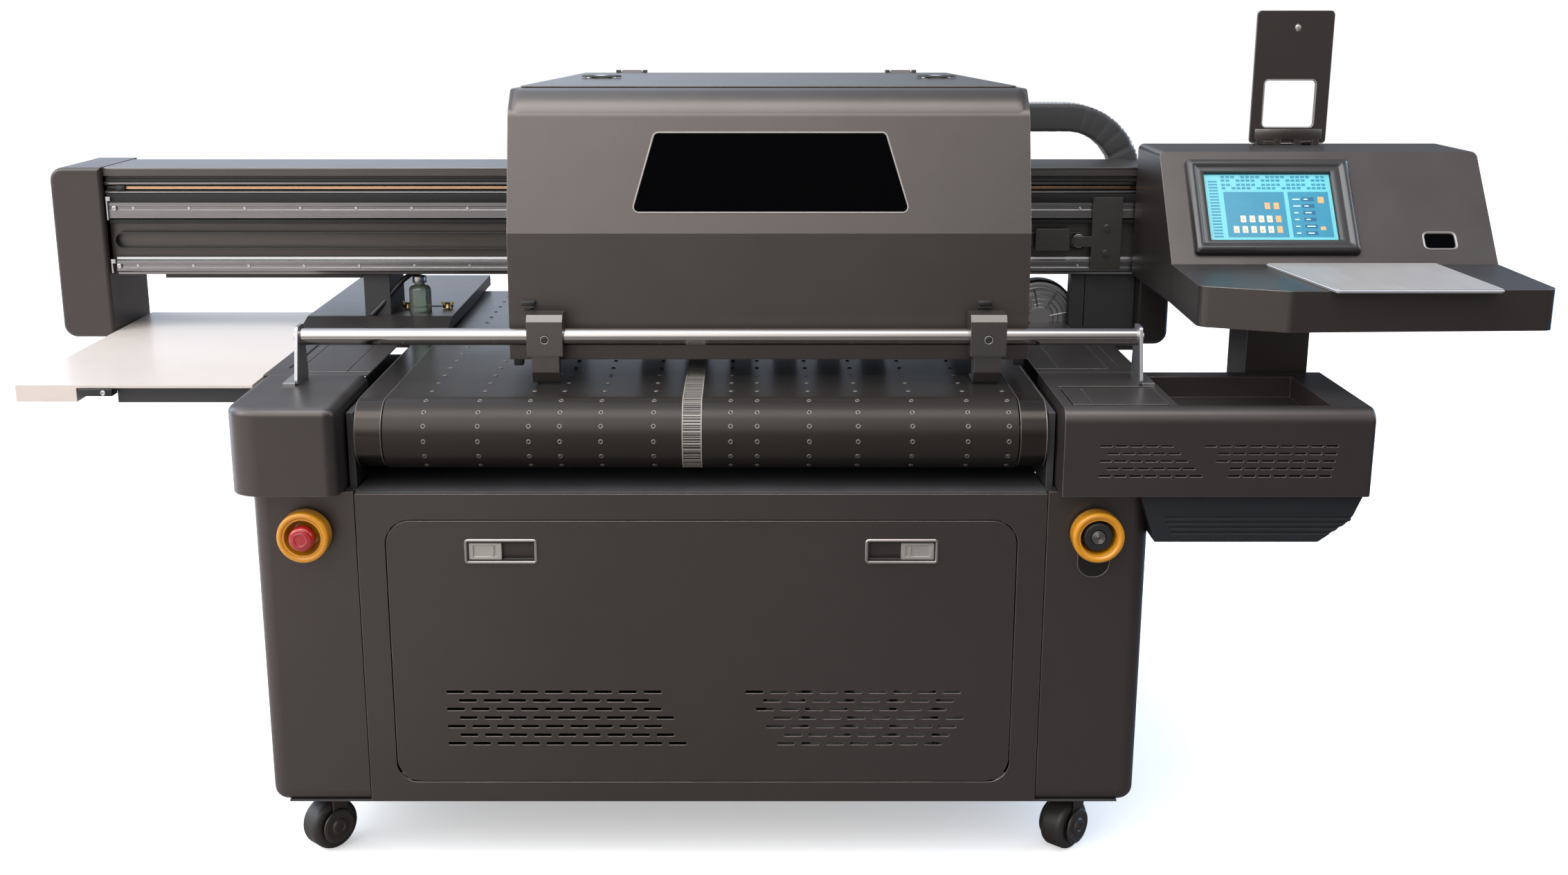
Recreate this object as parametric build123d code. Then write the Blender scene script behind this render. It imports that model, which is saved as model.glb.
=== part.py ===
from build123d import *
import os

# A belt-fed flatbed UV printer, in millimetres.
# The design frame has X = 0 on the middle of the belt, Y = 0 on the front panel (+Y to the rear)
# and Z = 0 on the floor. The exported frame is moved to the middle of the whole machine.

# ---------------------------------------------------------------- driving dimensions
CABINET_HALF = 817.0        # half width of the cabinet
CABINET_BACK = 1240.0       # depth of the cabinet
CABINET_LOW = 127.0         # underside of the cabinet, on top of the casters
CABINET_TOP = 740.0
SHEET = 3.0                 # sheet metal of the covers
PANEL_HALF = 628.0          # half width of the front panel
DECK_Z = 905.0              # top of the decks beside the belt
DECK_HALF = 845.0           # outer edge of the decks
DECK_INNER = 645.0          # inner edge of the decks
DECK_BACK = 1300.0

BELT_TOP = 900.0            # working height
BELT_R = 66.0               # outer radius of the belt round its rollers
BELT_T = 4.0
BELT_HALF = 574.0
ROLLER_FRONT_Y = 74.0
ROLLER_REAR_Y = 1234.0
ROLLER_Z = BELT_TOP - BELT_R
SHAFT_R = 12.5
RUN_FIT = 0.05              # radial clearance of a shaft in its bearing

DOOR_HALF = 575.0
DOOR_LOW, DOOR_HIGH = 172.0, 685.0
DOOR_R = 45.0
DOOR_GAP = 2.5
DOOR_PIN_Y, DOOR_PIN_Z, DOOR_PIN_R = 3.0, 174.5, 1.5
OPENING_LOW_R = 40.0        # lower corners of the opening, which clear the turning door
INK_LID_BACK = 128.0        # the ink lid ends in front of the tube's bracket
LATCH_X, LATCH_Z = 366.0, 627.0
LATCH_W, LATCH_H = 122.0, 36.0
LATCH_SLIDE = 56.0

BEAM_LEFT, BEAM_RIGHT = -1300.0, 930.0
BEAM_FRONT, BEAM_BACK = 745.0, 920.0
BEAM_LOW, BEAM_TOP = 1020.0, 1253.0
UPPER_RAIL = (1137.0, 1195.0)
LOWER_RAIL = (1022.0, 1060.0)
RAIL_FACE_Y = 725.0
PULLEY_X, PULLEY_Z, PULLEY_R = 800.0, 1095.0, 15.2

HOOD_LEFT, HOOD_RIGHT = -371.0, 620.0
HOOD_LOW, HOOD_TOP = 935.0, 1437.0
HOOD_FRONT_Y, HOOD_MID_Y, HOOD_BACK_Y = 240.0, 700.0, 1000.0
HOOD_TAPER = 80.0           # each side comes in by this much at the back
HOOD_BACK_LOW = 1262.0
LID_HINGE_Y, LID_HINGE_Z = 1010.0, 1440.0

CHAIN_Z, CHAIN_BEND, CHAIN_H = 1205.0, 139.0, 62.0
CHAIN_FRONT, CHAIN_BACK = 928.0, 988.0
CHAIN_LOOP_X = 800.0

BAR_Y, BAR_Z, BAR_R = 190.0, 989.0, 16.0
BAR_LEFT, BAR_RIGHT = -755.0, 816.0
STOP_W = 67.0
LEFT_STOP_X, RIGHT_STOP_X = -294.5, 534.0

ARM_RIGHT, ARM_FRONT, ARM_BACK, ARM_LOW = 1195.0, -50.0, 262.0, 745.0
BUTTON_X, BUTTON_Z = 717.0, 664.0
COLLAR_R = 47.0

CONSOLE_LEFT, CONSOLE_RIGHT = 915.0, 1555.0
CONSOLE_BACK = 712.0
CONSOLE_LOW, SHELF_Z, CONSOLE_TOP = 1025.0, 1100.0, 1305.0
FACE_FRONT_Y, FACE_BACK_Y = 360.0, 520.0
PLATE_X, PLATE_W, PLATE_H, PLATE_Y = 1220.0, 160.0, 275.0, 682.0
HINGE_EARS = (-66.0, -28.0, 14.0, 52.0)    # left edges of the plate hinge's ears

TABLE_LEFT, TABLE_RIGHT, TABLE_FRONT, TABLE_BACK = -1295.0, -848.0, 170.0, 943.0

CASTER_X, CASTER_FRONT_Y, CASTER_REAR_Y = 715.0, 93.0, 1147.0
WHEEL_R, WHEEL_W, CASTER_TRAIL = 50.0, 50.0, 22.0
CASTER_TURN = 137.0         # how far the casters have swivelled from trailing straight back

parts = {}


# ---------------------------------------------------------------- helpers
def block(x0, x1, y0, y1, z0, z1):
    """A box between two corners."""
    return Pos((x0 + x1) / 2, (y0 + y1) / 2, (z0 + z1) / 2) * Box(x1 - x0, y1 - y0, z1 - z0)


def rod(axis, start, length, radius, bore=0.0):
    """A round bar or tube that starts at a point and runs along +X, +Y or +Z."""
    turn = {"x": Rot(0, 90, 0), "y": Rot(-90, 0, 0), "z": Rot(0, 0, 0)}[axis]
    along = (Align.CENTER, Align.CENTER, Align.MIN)
    bar = Cylinder(radius, length, align=along)
    if bore:
        bar -= Cylinder(bore, length, align=along)
    return Pos(*start) * turn * bar


def along_x(points, x0, x1, radius=0.0):
    """A (y, z) outline pushed along X, with rounded corners if a radius is given."""
    face = make_face(Polyline(*points, close=True))
    if radius:
        face = fillet(face.vertices(), radius)
    return extrude(Plane.YZ.offset(x0) * face, x1 - x0)


def along_y(points, y0, y1, radius=0.0):
    """An (x, z) outline pushed along Y."""
    face = make_face(Polyline(*points, close=True))
    if radius:
        face = fillet(face.vertices(), radius)
    return extrude(Plane.XZ.offset(-y1) * face, y1 - y0)


def along_z(points, z0, z1, radius=0.0):
    """An (x, y) outline pushed along Z."""
    face = make_face(Polyline(*points, close=True))
    if radius:
        face = fillet(face.vertices(), radius)
    return extrude(Plane.XY.offset(z0) * face, z1 - z0)


def rounded_panel(x0, x1, z0, z1, radius, y0, y1):
    """An upright sheet with rounded corners."""
    return along_y([(x0, z0), (x1, z0), (x1, z1), (x0, z1)], y0, y1, radius)


def mirrored(shape):
    """The same piece on the other side of the machine."""
    return mirror(shape, Plane.YZ)


def obround(reach, x0, x1):
    """The closed outline of the belt path at a distance from the roller centres, pushed along X."""
    straight = block(x0, x1, ROLLER_FRONT_Y, ROLLER_REAR_Y, ROLLER_Z - reach, ROLLER_Z + reach)
    front = rod("x", (x0, ROLLER_FRONT_Y, ROLLER_Z), x1 - x0, reach)
    rear = rod("x", (x0, ROLLER_REAR_Y, ROLLER_Z), x1 - x0, reach)
    return straight + front + rear


def slot_rows(left_edge, right_edge, zs, width, height, pitch, y0, y1):
    """Rows of horizontal slots, each second row moved by half a pitch, between two slanted edges."""
    slots = []
    for row, z in enumerate(zs):
        start, end = left_edge(z), right_edge(z)
        x = start + width / 2 + (row % 2) * pitch / 2
        while x + width / 2 <= end:
            slots.append(Pos(x, z) * SlotOverall(width, height))
            x += pitch
    return extrude(Plane.XZ.offset(-y1) * (Sketch() + slots), y1 - y0)


def group(pieces):
    """Several separate solids as one node."""
    return Compound([solid for piece in pieces for solid in piece.solids()])


def beside(shape, axis, edge_filter):
    """The edges of a shape along one axis that pass a test on their middle point."""
    return [e for e in shape.edges().filter_by(axis) if edge_filter(e.center())]


# ---------------------------------------------------------------- cabinet
def cabinet_frame():
    """A welded frame of square tube with its top sheet and the two upright belt beams."""
    tube, x, y0, y1 = 40.0, 782.0, 22.0, 1222.0
    low, high = 131.0, 736.0
    frame = block(-x, x, y0, y1, low, high)
    frame -= block(-x + tube, x - tube, y0 - 1, y1 + 1, low + tube, high - tube)
    frame -= block(-x - 1, x + 1, y0 + tube, y1 - tube, low + tube, high - tube)
    frame -= block(-x + tube, x - tube, y0 + tube, y1 - tube, low - 1, high + 1)
    for y in (400.0, 800.0):
        frame += block(-x, x, y, y + tube, high - tube, high)
    frame += block(-PANEL_HALF + 2, PANEL_HALF - 2, SHEET + 0.2, 1236.0, high, high + SHEET)
    for side in (-1, 1):
        beam = block(629.0, 641.0, 30.0, 1280.0, high, 880.0)
        for y in (ROLLER_FRONT_Y, ROLLER_REAR_Y):
            beam -= rod("x", (620.0, y, ROLLER_Z), 30.0, 16.0)
        beam -= block(620.0, 650.0, 786.0, 834.0, 836.0, 884.0)
        frame += beam if side > 0 else mirrored(beam)
    return frame


def base_pan():
    """The floor sheet, with the four top plates of the casters bolted under it."""
    pan = block(-785.0, 785.0, 5.0, 1236.0, CABINET_LOW, CABINET_LOW + SHEET)
    solids = [pan]
    for x in (-CASTER_X, CASTER_X):
        for y in (CASTER_FRONT_Y, CASTER_REAR_Y):
            plate = block(x - 48, x + 48, y - 42, y + 42, CABINET_LOW - 6, CABINET_LOW)
            plate += rod("z", (x, y, CABINET_LOW - 12), 6.0, 24.0)
            plate += rod("z", (x, y, CABINET_LOW - 23), 11.0, 6.0)
            solids.append(plate)
    return group(solids)


def front_panel():
    """The sheet round the door, with the two brackets and pins that the door turns on."""
    panel = block(-PANEL_HALF, PANEL_HALF, 0.0, SHEET, 130.0, 736.0)
    half = DOOR_HALF + DOOR_GAP
    low, high, radius = DOOR_LOW - DOOR_GAP, DOOR_HIGH + DOOR_GAP, DOOR_R + DOOR_GAP
    panel -= rounded_panel(-half, half, low, high, radius, -1.0, SHEET + 1)
    panel -= rounded_panel(-half, half, low, low + 3 * OPENING_LOW_R, OPENING_LOW_R, -1.0, SHEET + 1)
    lip = block(-PANEL_HALF, PANEL_HALF, SHEET, 20.0, 733.0, 736.0)
    panel += lip
    for side in (-1, 1):
        bracket = block(556.0, 570.0, SHEET, 12.0, 160.0, 187.0)
        bracket += rod("x", (510.0, DOOR_PIN_Y, DOOR_PIN_Z), 47.0, DOOR_PIN_R)
        panel += bracket if side > 0 else mirrored(bracket)
    return panel


def front_door():
    """The service door, with vent slots, latch openings and a folded rim inside."""
    door = rounded_panel(-DOOR_HALF, DOOR_HALF, DOOR_LOW, DOOR_HIGH, DOOR_R, 0.0, SHEET)
    rim = rounded_panel(-DOOR_HALF + 3, DOOR_HALF - 3, 217.0, DOOR_HIGH - 3, 20.0, SHEET, 15.0)
    rim -= rounded_panel(-DOOR_HALF + 6, DOOR_HALF - 6, 220.0, DOOR_HIGH - 6, 17.0, SHEET - 1, 16.0)
    door += rim
    for side in (-1, 1):
        x = side * LATCH_X
        door -= rounded_panel(x - LATCH_W / 2, x + LATCH_W / 2, LATCH_Z - LATCH_H / 2,
                              LATCH_Z + LATCH_H / 2, 4.0, -1.0, SHEET + 1)
        cup = rounded_panel(x - LATCH_W / 2 - 2, x + LATCH_W / 2 + 2, LATCH_Z - LATCH_H / 2 - 2,
                            LATCH_Z + LATCH_H / 2 + 2, 6.0, SHEET, 14.0)
        cup -= rounded_panel(x - LATCH_W / 2, x + LATCH_W / 2, LATCH_Z - LATCH_H / 2,
                             LATCH_Z + LATCH_H / 2, 4.0, SHEET - 1, 12.0)
        door += cup
        ear = block(515.0, 521.0, SHEET, 8.5, 172.5, 180.0)
        door += ear if side > 0 else mirrored(ear)
        # the pin lies in a groove in the back of the door
        groove = rod("x", (509.0, DOOR_PIN_Y, DOOR_PIN_Z), 50.0, DOOR_PIN_R + RUN_FIT)
        door -= groove if side > 0 else mirrored(groove)
    rows = [352.0 - 17.3 * n for n in range(7)]
    # the inner edge of each slot field leans inwards going down
    lean = lambda z: 59.0 * (352.0 - z) / 104.0
    door -= slot_rows(lambda z: -478.0, lambda z: -72.0 + lean(z), rows, 34.0, 6.0, 46.0, -1.0, SHEET + 1)
    door -= slot_rows(lambda z: 80.0 + lean(z), lambda z: 492.0, rows, 34.0, 6.0, 46.0, -1.0, SHEET + 1)
    return door


def latch(side):
    """The flush sliding half of a door latch, with a raised finger rib."""
    outer = side * (LATCH_X + 29.0)
    body = rounded_panel(outer - 30.0, outer + 30.0, LATCH_Z - 17.0, LATCH_Z + 17.0, 3.0, 1.0, 11.5)
    body -= block(outer - 22.0, outer + 22.0, 0.0, 4.0, LATCH_Z - 11.0, LATCH_Z + 11.0)
    body += block(outer - side * 14.0 - 2.0, outer - side * 14.0 + 2.0, 1.2, 4.5,
                  LATCH_Z - 10.0, LATCH_Z + 10.0)
    return body


def side_cover():
    """The right side sheet, wrapped round the front corner and with rounded lower edge."""
    cover = block(PANEL_HALF + 2, CABINET_HALF, 0.0, CABINET_BACK, CABINET_LOW, CABINET_TOP)
    outer = lambda c: c.X > CABINET_HALF - 1
    cover = fillet(beside(cover, Axis.Z, lambda c: outer(c) and c.Y < 1), 30.0)
    cover = fillet(beside(cover, Axis.Y, lambda c: outer(c) and c.Z < CABINET_LOW + 1), 25.0)
    core = block(PANEL_HALF, CABINET_HALF - SHEET, SHEET, CABINET_BACK + 1,
                 CABINET_LOW + SHEET, CABINET_TOP - SHEET)
    inner = lambda c: c.X > CABINET_HALF - SHEET - 1
    core = fillet(beside(core, Axis.Z, lambda c: inner(c) and c.Y < SHEET + 1), 27.0)
    core = fillet(beside(core, Axis.Y, lambda c: inner(c) and c.Z < CABINET_LOW + SHEET + 1), 22.0)
    cover -= core
    cover -= block(600.0, 786.0, SHEET + 1, CABINET_BACK + 1, CABINET_LOW - 1, CABINET_LOW + SHEET + 1)
    cover -= block(600.0, 642.5, 20.0, CABINET_BACK + 1, CABINET_TOP - 4, CABINET_TOP + 1)
    # the stem of the button or knob passes through the front
    cover -= rod("y", (BUTTON_X, -1.0, BUTTON_Z), 6.0, 13.0)
    return cover


def rear_panel():
    """The rear sheet, with slots for air and the inlet for the mains lead."""
    panel = block(-CABINET_HALF + 4, CABINET_HALF - 4, CABINET_BACK + 0.2, CABINET_BACK + SHEET, 131.0, 736.0)
    rows = [560.0 - 24.0 * n for n in range(9)]
    panel -= slot_rows(lambda z: 200.0, lambda z: 620.0, rows, 60.0, 8.0, 80.0,
                       CABINET_BACK - 1, CABINET_BACK + SHEET + 1)
    inlet = block(-660.0, -600.0, CABINET_BACK - 30, CABINET_BACK + 6, 240.0, 290.0)
    inlet -= block(-655.0, -605.0, CABINET_BACK - 12, CABINET_BACK + 7, 245.0, 285.0)
    return panel + inlet


def control_box():
    """The steel box that holds the drives and power supplies."""
    box = block(-640.0, -160.0, 700.0, 1100.0, 172.0, 560.0)
    box = fillet(box.edges().filter_by(Axis.Z), 8.0)
    box -= block(-637.0, -163.0, 703.0, 1097.0, 175.0, 561.0)
    lid = block(-640.0, -160.0, 700.0, 1100.0, 560.5, 564.0)
    supply = block(-600.0, -400.0, 760.0, 1000.0, 175.5, 300.0)
    drives = [block(-380.0 + 60 * n, -340.0 + 60 * n, 800.0, 960.0, 175.5, 400.0) for n in range(3)]
    return group([box, lid, supply] + drives)


def ink_tanks():
    """Six ink bottles that stand on the cabinet floor behind the door."""
    tanks = []
    for n in range(6):
        x = 120.0 + 85 * n
        tank = fillet(block(x, x + 70, 120.0, 260.0, 172.0, 400.0).edges(), 10.0)
        tank += rod("z", (x + 35, 190.0, 399.0), 28.0, 20.0)
        tanks.append(tank)
    shelf = block(100.0, 640.0, 100.0, 290.0, 166.0, 171.5)
    return group(tanks + [shelf])


# ---------------------------------------------------------------- decks and shoulders
def left_nose_cap():
    """The moulded shoulder at the left front corner."""
    cap = block(-DECK_HALF, -DECK_INNER, ARM_FRONT, 237.0, ARM_LOW, DECK_Z)
    cap = fillet(beside(cap, Axis.Z, lambda c: c.X < -800 and c.Y < 0), 60.0)
    cap = fillet(beside(cap, Axis.Z, lambda c: c.X > -700 and c.Y < 0), 22.0)
    rim = [e for e in cap.edges() if abs(e.center().Z - DECK_Z) < 0.5 and e.center().Y < 236.0]
    cap = fillet(rim, 16.0)
    core = block(-DECK_HALF + 4, -DECK_INNER - 4, ARM_FRONT + 4, 238.0, ARM_LOW + 4, DECK_Z - 4)
    core = fillet(beside(core, Axis.Z, lambda c: c.X < -800 and c.Y < 0), 56.0)
    core = fillet(beside(core, Axis.Z, lambda c: c.X > -700 and c.Y < 0), 18.0)
    rim = [e for e in core.edges() if abs(e.center().Z - DECK_Z + 4) < 0.5 and e.center().Y < 237.0]
    core = fillet(rim, 12.0)
    return cap - core


def deck(front, with_outrigger):
    """One deck beside the belt, drawn on the right, with seams and a grooved edge strip."""
    shell = block(DECK_INNER, DECK_HALF, front, DECK_BACK, ARM_LOW, DECK_Z)
    core = block(DECK_INNER - 1, DECK_HALF - SHEET, front - 1, DECK_BACK - SHEET, ARM_LOW - 1, DECK_Z - SHEET)
    if with_outrigger:
        shell += block(DECK_HALF - 1, 929.0, 700.0, 960.0, 860.0, DECK_Z)
        core += block(DECK_HALF - 4, 929.0 - SHEET, 700.0 + SHEET, 960.0 - SHEET, 859.0, DECK_Z - SHEET)
    shell -= core
    for x in (690.0, 786.0):
        shell -= block(x, x + 2.0, front + 30, DECK_BACK + 1, DECK_Z - 1.5, DECK_Z + 1)
    for y in (front + 30, 600.0):
        shell -= block(DECK_INNER - 1, 788.0, y, y + 2.0, DECK_Z - 1.5, DECK_Z + 1)
    shell -= block(800.0, 812.0, front + 60, 690.0, DECK_Z - 2.0, DECK_Z + 1)
    return shell


def deck_covers():
    """The left and right decks as two sheet covers."""
    right = deck(ARM_BACK + 0.5, True)
    right -= block(DECK_INNER - 1, 820.0, 780.0, 842.0, DECK_Z - 10, DECK_Z + 1)
    return group([mirrored(deck(237.5, False)), right])


def side_plinth():
    """The raised cover on the left deck, sloped at the front, that carries the beam column."""
    outline = [(620.0, DECK_Z), (DECK_BACK, DECK_Z), (DECK_BACK, 930.0), (730.0, 930.0)]
    plinth = along_x(outline, -880.0, -563.0)
    core = along_x([(640.0, DECK_Z - 1), (DECK_BACK - 4, DECK_Z - 1), (DECK_BACK - 4, 926.0), (740.0, 926.0)],
                   -876.0, -567.0)
    plinth -= core
    # a shallow hatch with two wing nuts
    plinth -= block(-690.0, -580.0, 800.0, 860.0, 928.5, 931.0)
    for x in (-680.0, -590.0):
        nut = rod("z", (x, 830.0, 928.5), 9.0, 5.0) + block(x - 11, x + 11, 828.8, 831.2, 930.0, 943.0)
        plinth += nut
    return plinth


def arm_housing():
    """The right-hand arm, with the ink-lid opening, the open recess and front vents."""
    x0, x1 = DECK_INNER, ARM_RIGHT
    arm = block(x0, x1, ARM_FRONT, ARM_BACK, ARM_LOW, DECK_Z)
    arm = fillet(beside(arm, Axis.X, lambda c: c.Y < 0 and c.Z > 900), 26.0)
    arm = fillet(beside(arm, Axis.Y, lambda c: c.X > 1190 and c.Z > 900), 8.0)
    core = block(x0 + 4, x1 - 4, ARM_FRONT + 4, ARM_BACK - 4, ARM_LOW + 4, DECK_Z - 4)
    core = fillet(beside(core, Axis.X, lambda c: c.Y < 0 and c.Z > 895), 22.0)
    arm -= core
    tub = block(846.0, 1126.0, -24.0, 224.0, 861.0, DECK_Z - 1)
    arm += tub
    arm -= block(850.0, 1122.0, -20.0, 220.0, 865.0, DECK_Z + 1)
    arm -= block(662.5, 836.0, -16.0, INK_LID_BACK + 10, DECK_Z - 5, DECK_Z + 1)
    for y, pin_y in ((-17.0, -17.0), (INK_LID_BACK + 4, INK_LID_BACK - 4)):
        arm += block(659.0, 839.0, y, y + 7.0, DECK_Z - 8, DECK_Z - 4)
        arm += rod("y", (668.0, pin_y, DECK_Z - 4.2), 15.0, 1.5)
    # rows of front vents in two fields with slanted inner ends
    rows = [839.0 - 13.8 * n for n in range(5)]
    lean = lambda z: 45.0 * (839.0 - z) / 55.0
    arm -= slot_rows(lambda z: 708.0, lambda z: 852.0 + lean(z), rows, 22.0, 4.0, 27.0, -51.0, -45.0)
    arm -= slot_rows(lambda z: 892.0 + lean(z), lambda z: 1142.0, rows, 22.0, 4.0, 27.0, -51.0, -45.0)
    return arm


def ink_lid():
    """The flush lid over the filling ports in the arm, hinged along its left edge."""
    lid = block(665.5, 834.5, -8.0, INK_LID_BACK, DECK_Z - 3, DECK_Z)
    lid -= block(700.0, 702.0, 12.0, INK_LID_BACK - 16, DECK_Z - 0.8, DECK_Z + 1)
    for y in (-8.0, INK_LID_BACK - 8):
        tab = block(665.6, 672.0, y, y + 8.0, DECK_Z - 7, DECK_Z - 2)
        lid += tab
    lid -= rod("y", (668.0, -9.0, DECK_Z - 4.2), INK_LID_BACK + 20, 1.5 + RUN_FIT)
    return lid


def arm_skirt():
    """The dark lower cover under the arm, with louvre grooves."""
    outer = [(789.0, 744.8), (818.0, 656.0), (1112.0, 656.0), (1168.0, 696.0), (1188.0, 744.8)]
    inner = [(797.0, 745.8), (823.0, 660.0), (1110.0, 660.0), (1164.0, 699.0), (1183.0, 745.8)]
    skirt = along_y(outer, -34.0, 240.0) - along_y(inner, -30.0, 236.0)
    for n in range(4):
        z = 671.0 + 9.5 * n
        skirt -= block(846.0 - 4 * n, 1200.0, -35.0, -31.5, z, z + 4.5)
    skirt -= block(700.0, CABINET_HALF + 1.5, -1.0, 300.0, 600.0, 745.0)
    return skirt


# ---------------------------------------------------------------- belt conveyor
def vacuum_belt():
    """The perforated belt as one closed loop."""
    return obround(BELT_R, -BELT_HALF, BELT_HALF) - obround(BELT_R - BELT_T, -BELT_HALF - 1, BELT_HALF + 1)


def side_guards():
    """The polished strips beside the belt, with the end plates that hold the bearings."""
    guard = obround(BELT_R - 3, BELT_HALF + 3, 626.0) - obround(BELT_R - 6, BELT_HALF + 2, 622.0)
    for y in (ROLLER_FRONT_Y, ROLLER_REAR_Y):
        guard -= rod("x", (600.0, y, ROLLER_Z), 40.0, 20.0)
    right = guard - block(600.0, 650.0, 788.0, 832.0, 838.0, 882.0)
    # the four ball bearings, as plain rings in the end plates
    rings = []
    for x in (-628.0, 614.0):
        for y in (ROLLER_FRONT_Y, ROLLER_REAR_Y):
            rings.append(rod("x", (x, y, ROLLER_Z), 14.0, 19.95, SHAFT_R + RUN_FIT))
    return group([right, mirrored(guard)] + rings)


def roller(y, right_end):
    """A belt roller: a drum with its shaft."""
    drum = rod("x", (-572.0, y, ROLLER_Z), 1144.0, BELT_R - BELT_T - 0.5, 54.0)
    for x in (-572.0, 564.0):
        drum += rod("x", (x, y, ROLLER_Z), 8.0, 55.0)
    drum += rod("x", (-636.0, y, ROLLER_Z), 636.0 + right_end, SHAFT_R)
    # a drive flat in the end of the shaft
    return drum - block(right_end - 16, right_end + 1, y - 20, y + 20, ROLLER_Z + 9.5, ROLLER_Z + 20)


def belt_motor():
    """The gear motor on the right end of the rear roller."""
    box = block(650.0, 720.0, 1180.0, 1290.0, 780.0, 888.0)
    box -= rod("x", (649.0, ROLLER_REAR_Y, ROLLER_Z), 26.0, SHAFT_R + 0.3)
    box = fillet(box.edges().filter_by(Axis.X), 8.0)
    box += rod("x", (720.0, ROLLER_REAR_Y, ROLLER_Z), 100.0, 42.0)
    foot = block(650.0, 720.0, 1190.0, 1280.0, 742.0, 780.0)
    return box + foot


def vacuum_box():
    """The suction chamber under the upper run, with its perforated top and side outlet."""
    box = block(-560.0, 560.0, 150.0, 1160.0, 842.0, 893.0)
    box -= block(-556.0, 556.0, 154.0, 1156.0, 846.0, 889.0)
    holes = [Pos(x, y) * Circle(6.0) for x in range(-500, 501, 125) for y in range(220, 1121, 150)]
    box -= extrude(Plane.XY.offset(888.0) * (Sketch() + holes), 6.0)
    for y in (300.0, 1000.0):
        box += block(559.0, 621.9, y, y + 60.0, 850.0, 880.0)
        box += block(-621.9, -559.0, y, y + 60.0, 850.0, 880.0)
    outlet = block(559.0, 650.0, 790.0, 830.0, 848.0, 880.0)
    outlet -= block(550.0, 651.0, 793.0, 827.0, 851.0, 877.0)
    return box - block(550.0, 562.0, 793.0, 827.0, 851.0, 877.0) + outlet


def vacuum_blower():
    """The round suction blower at the right rear, on its short duct."""
    centre = (731.0, 786.0, 916.0)
    body = rod("y", centre, 50.0, 84.0)
    body = fillet(body.edges(), 8.0)
    body -= rod("y", (731.0, 785.0, 916.0), 6.0, 62.0, 56.0)
    body += rod("y", (731.0, 780.0, 916.0), 8.0, 24.0)
    duct = block(650.2, 700.0, 790.0, 830.0, 848.0, 880.0)
    duct -= block(649.0, 690.0, 793.0, 827.0, 851.0, 877.0)
    return body + duct


# ---------------------------------------------------------------- beam
def beam():
    """The aluminium beam, a hollow extrusion with front grooves, and the tray behind it."""
    outline = [(BEAM_FRONT, BEAM_LOW), (BEAM_BACK, BEAM_LOW), (BEAM_BACK, BEAM_TOP), (728.0, BEAM_TOP),
               (728.0, 1235.0), (740.0, 1233.0), (740.0, 1224.0), (731.0, 1222.0), (731.0, 1216.0),
               (741.0, 1214.0), (741.0, 1204.0), (730.0, 1202.0), (730.0, 1197.0), (BEAM_FRONT, 1197.0)]
    box = along_x(outline, BEAM_LEFT, BEAM_RIGHT)
    box -= block(BEAM_LEFT - 1, BEAM_RIGHT + 1, BEAM_FRONT + 8, BEAM_BACK - 8, BEAM_LOW + 8, BEAM_TOP - 8)
    tray = block(-900.0, 925.0, BEAM_BACK, 1000.0, 1026.0, 1029.0)
    tray += block(-900.0, 925.0, 996.0, 1000.0, 1029.0, 1056.0)
    return box + tray


def rail_profile(low, high):
    """A guide rail with two waists, as an outline in (y, z)."""
    mid = (low + high) / 2
    return [(BEAM_FRONT, low), (BEAM_FRONT, high), (731.0, high), (729.0, high - 5), (RAIL_FACE_Y, high - 8),
            (RAIL_FACE_Y, mid + 4), (727.0, mid + 3), (727.0, mid - 3), (RAIL_FACE_Y, mid - 4),
            (RAIL_FACE_Y, low + 8), (729.0, low + 5), (731.0, low)]


def guide_rails():
    """The two linear rails on the front of the beam."""
    rails = [along_x(rail_profile(*UPPER_RAIL), BEAM_LEFT + 6, BEAM_RIGHT - 4),
             along_x(rail_profile(*LOWER_RAIL), BEAM_LEFT + 14, BEAM_RIGHT - 4)]
    return group(rails)


def carriage_drive_belt():
    """The toothed belt between the rails, as a loop with flat runs."""
    left, reach, t = -1270.0, PULLEY_R + 0.4, 3.0
    outer = block(left, PULLEY_X, 728.0, 742.0, PULLEY_Z - reach - t, PULLEY_Z + reach + t)
    outer += rod("y", (PULLEY_X, 728.0, PULLEY_Z), 14.0, reach + t)
    outer += rod("y", (left, 728.0, PULLEY_Z), 14.0, reach + t)
    inner = block(left, PULLEY_X, 727.0, 743.0, PULLEY_Z - reach, PULLEY_Z + reach)
    inner += rod("y", (PULLEY_X, 727.0, PULLEY_Z), 16.0, reach)
    inner += rod("y", (left, 727.0, PULLEY_Z), 16.0, reach)
    return outer - inner


def drive_pulley():
    """The toothed pulley at the right end of the drive belt."""
    pulley = rod("y", (PULLEY_X, 727.0, PULLEY_Z), 16.0, PULLEY_R, 4.0 + RUN_FIT)
    for n in range(12):
        tooth = Pos(PULLEY_X, 735.0, PULLEY_Z) * Rot(0, 30 * n, 0) * Pos(PULLEY_R, 0, 0) * Box(2.0, 20.0, 3.0)
        pulley -= tooth
    return pulley


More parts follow.
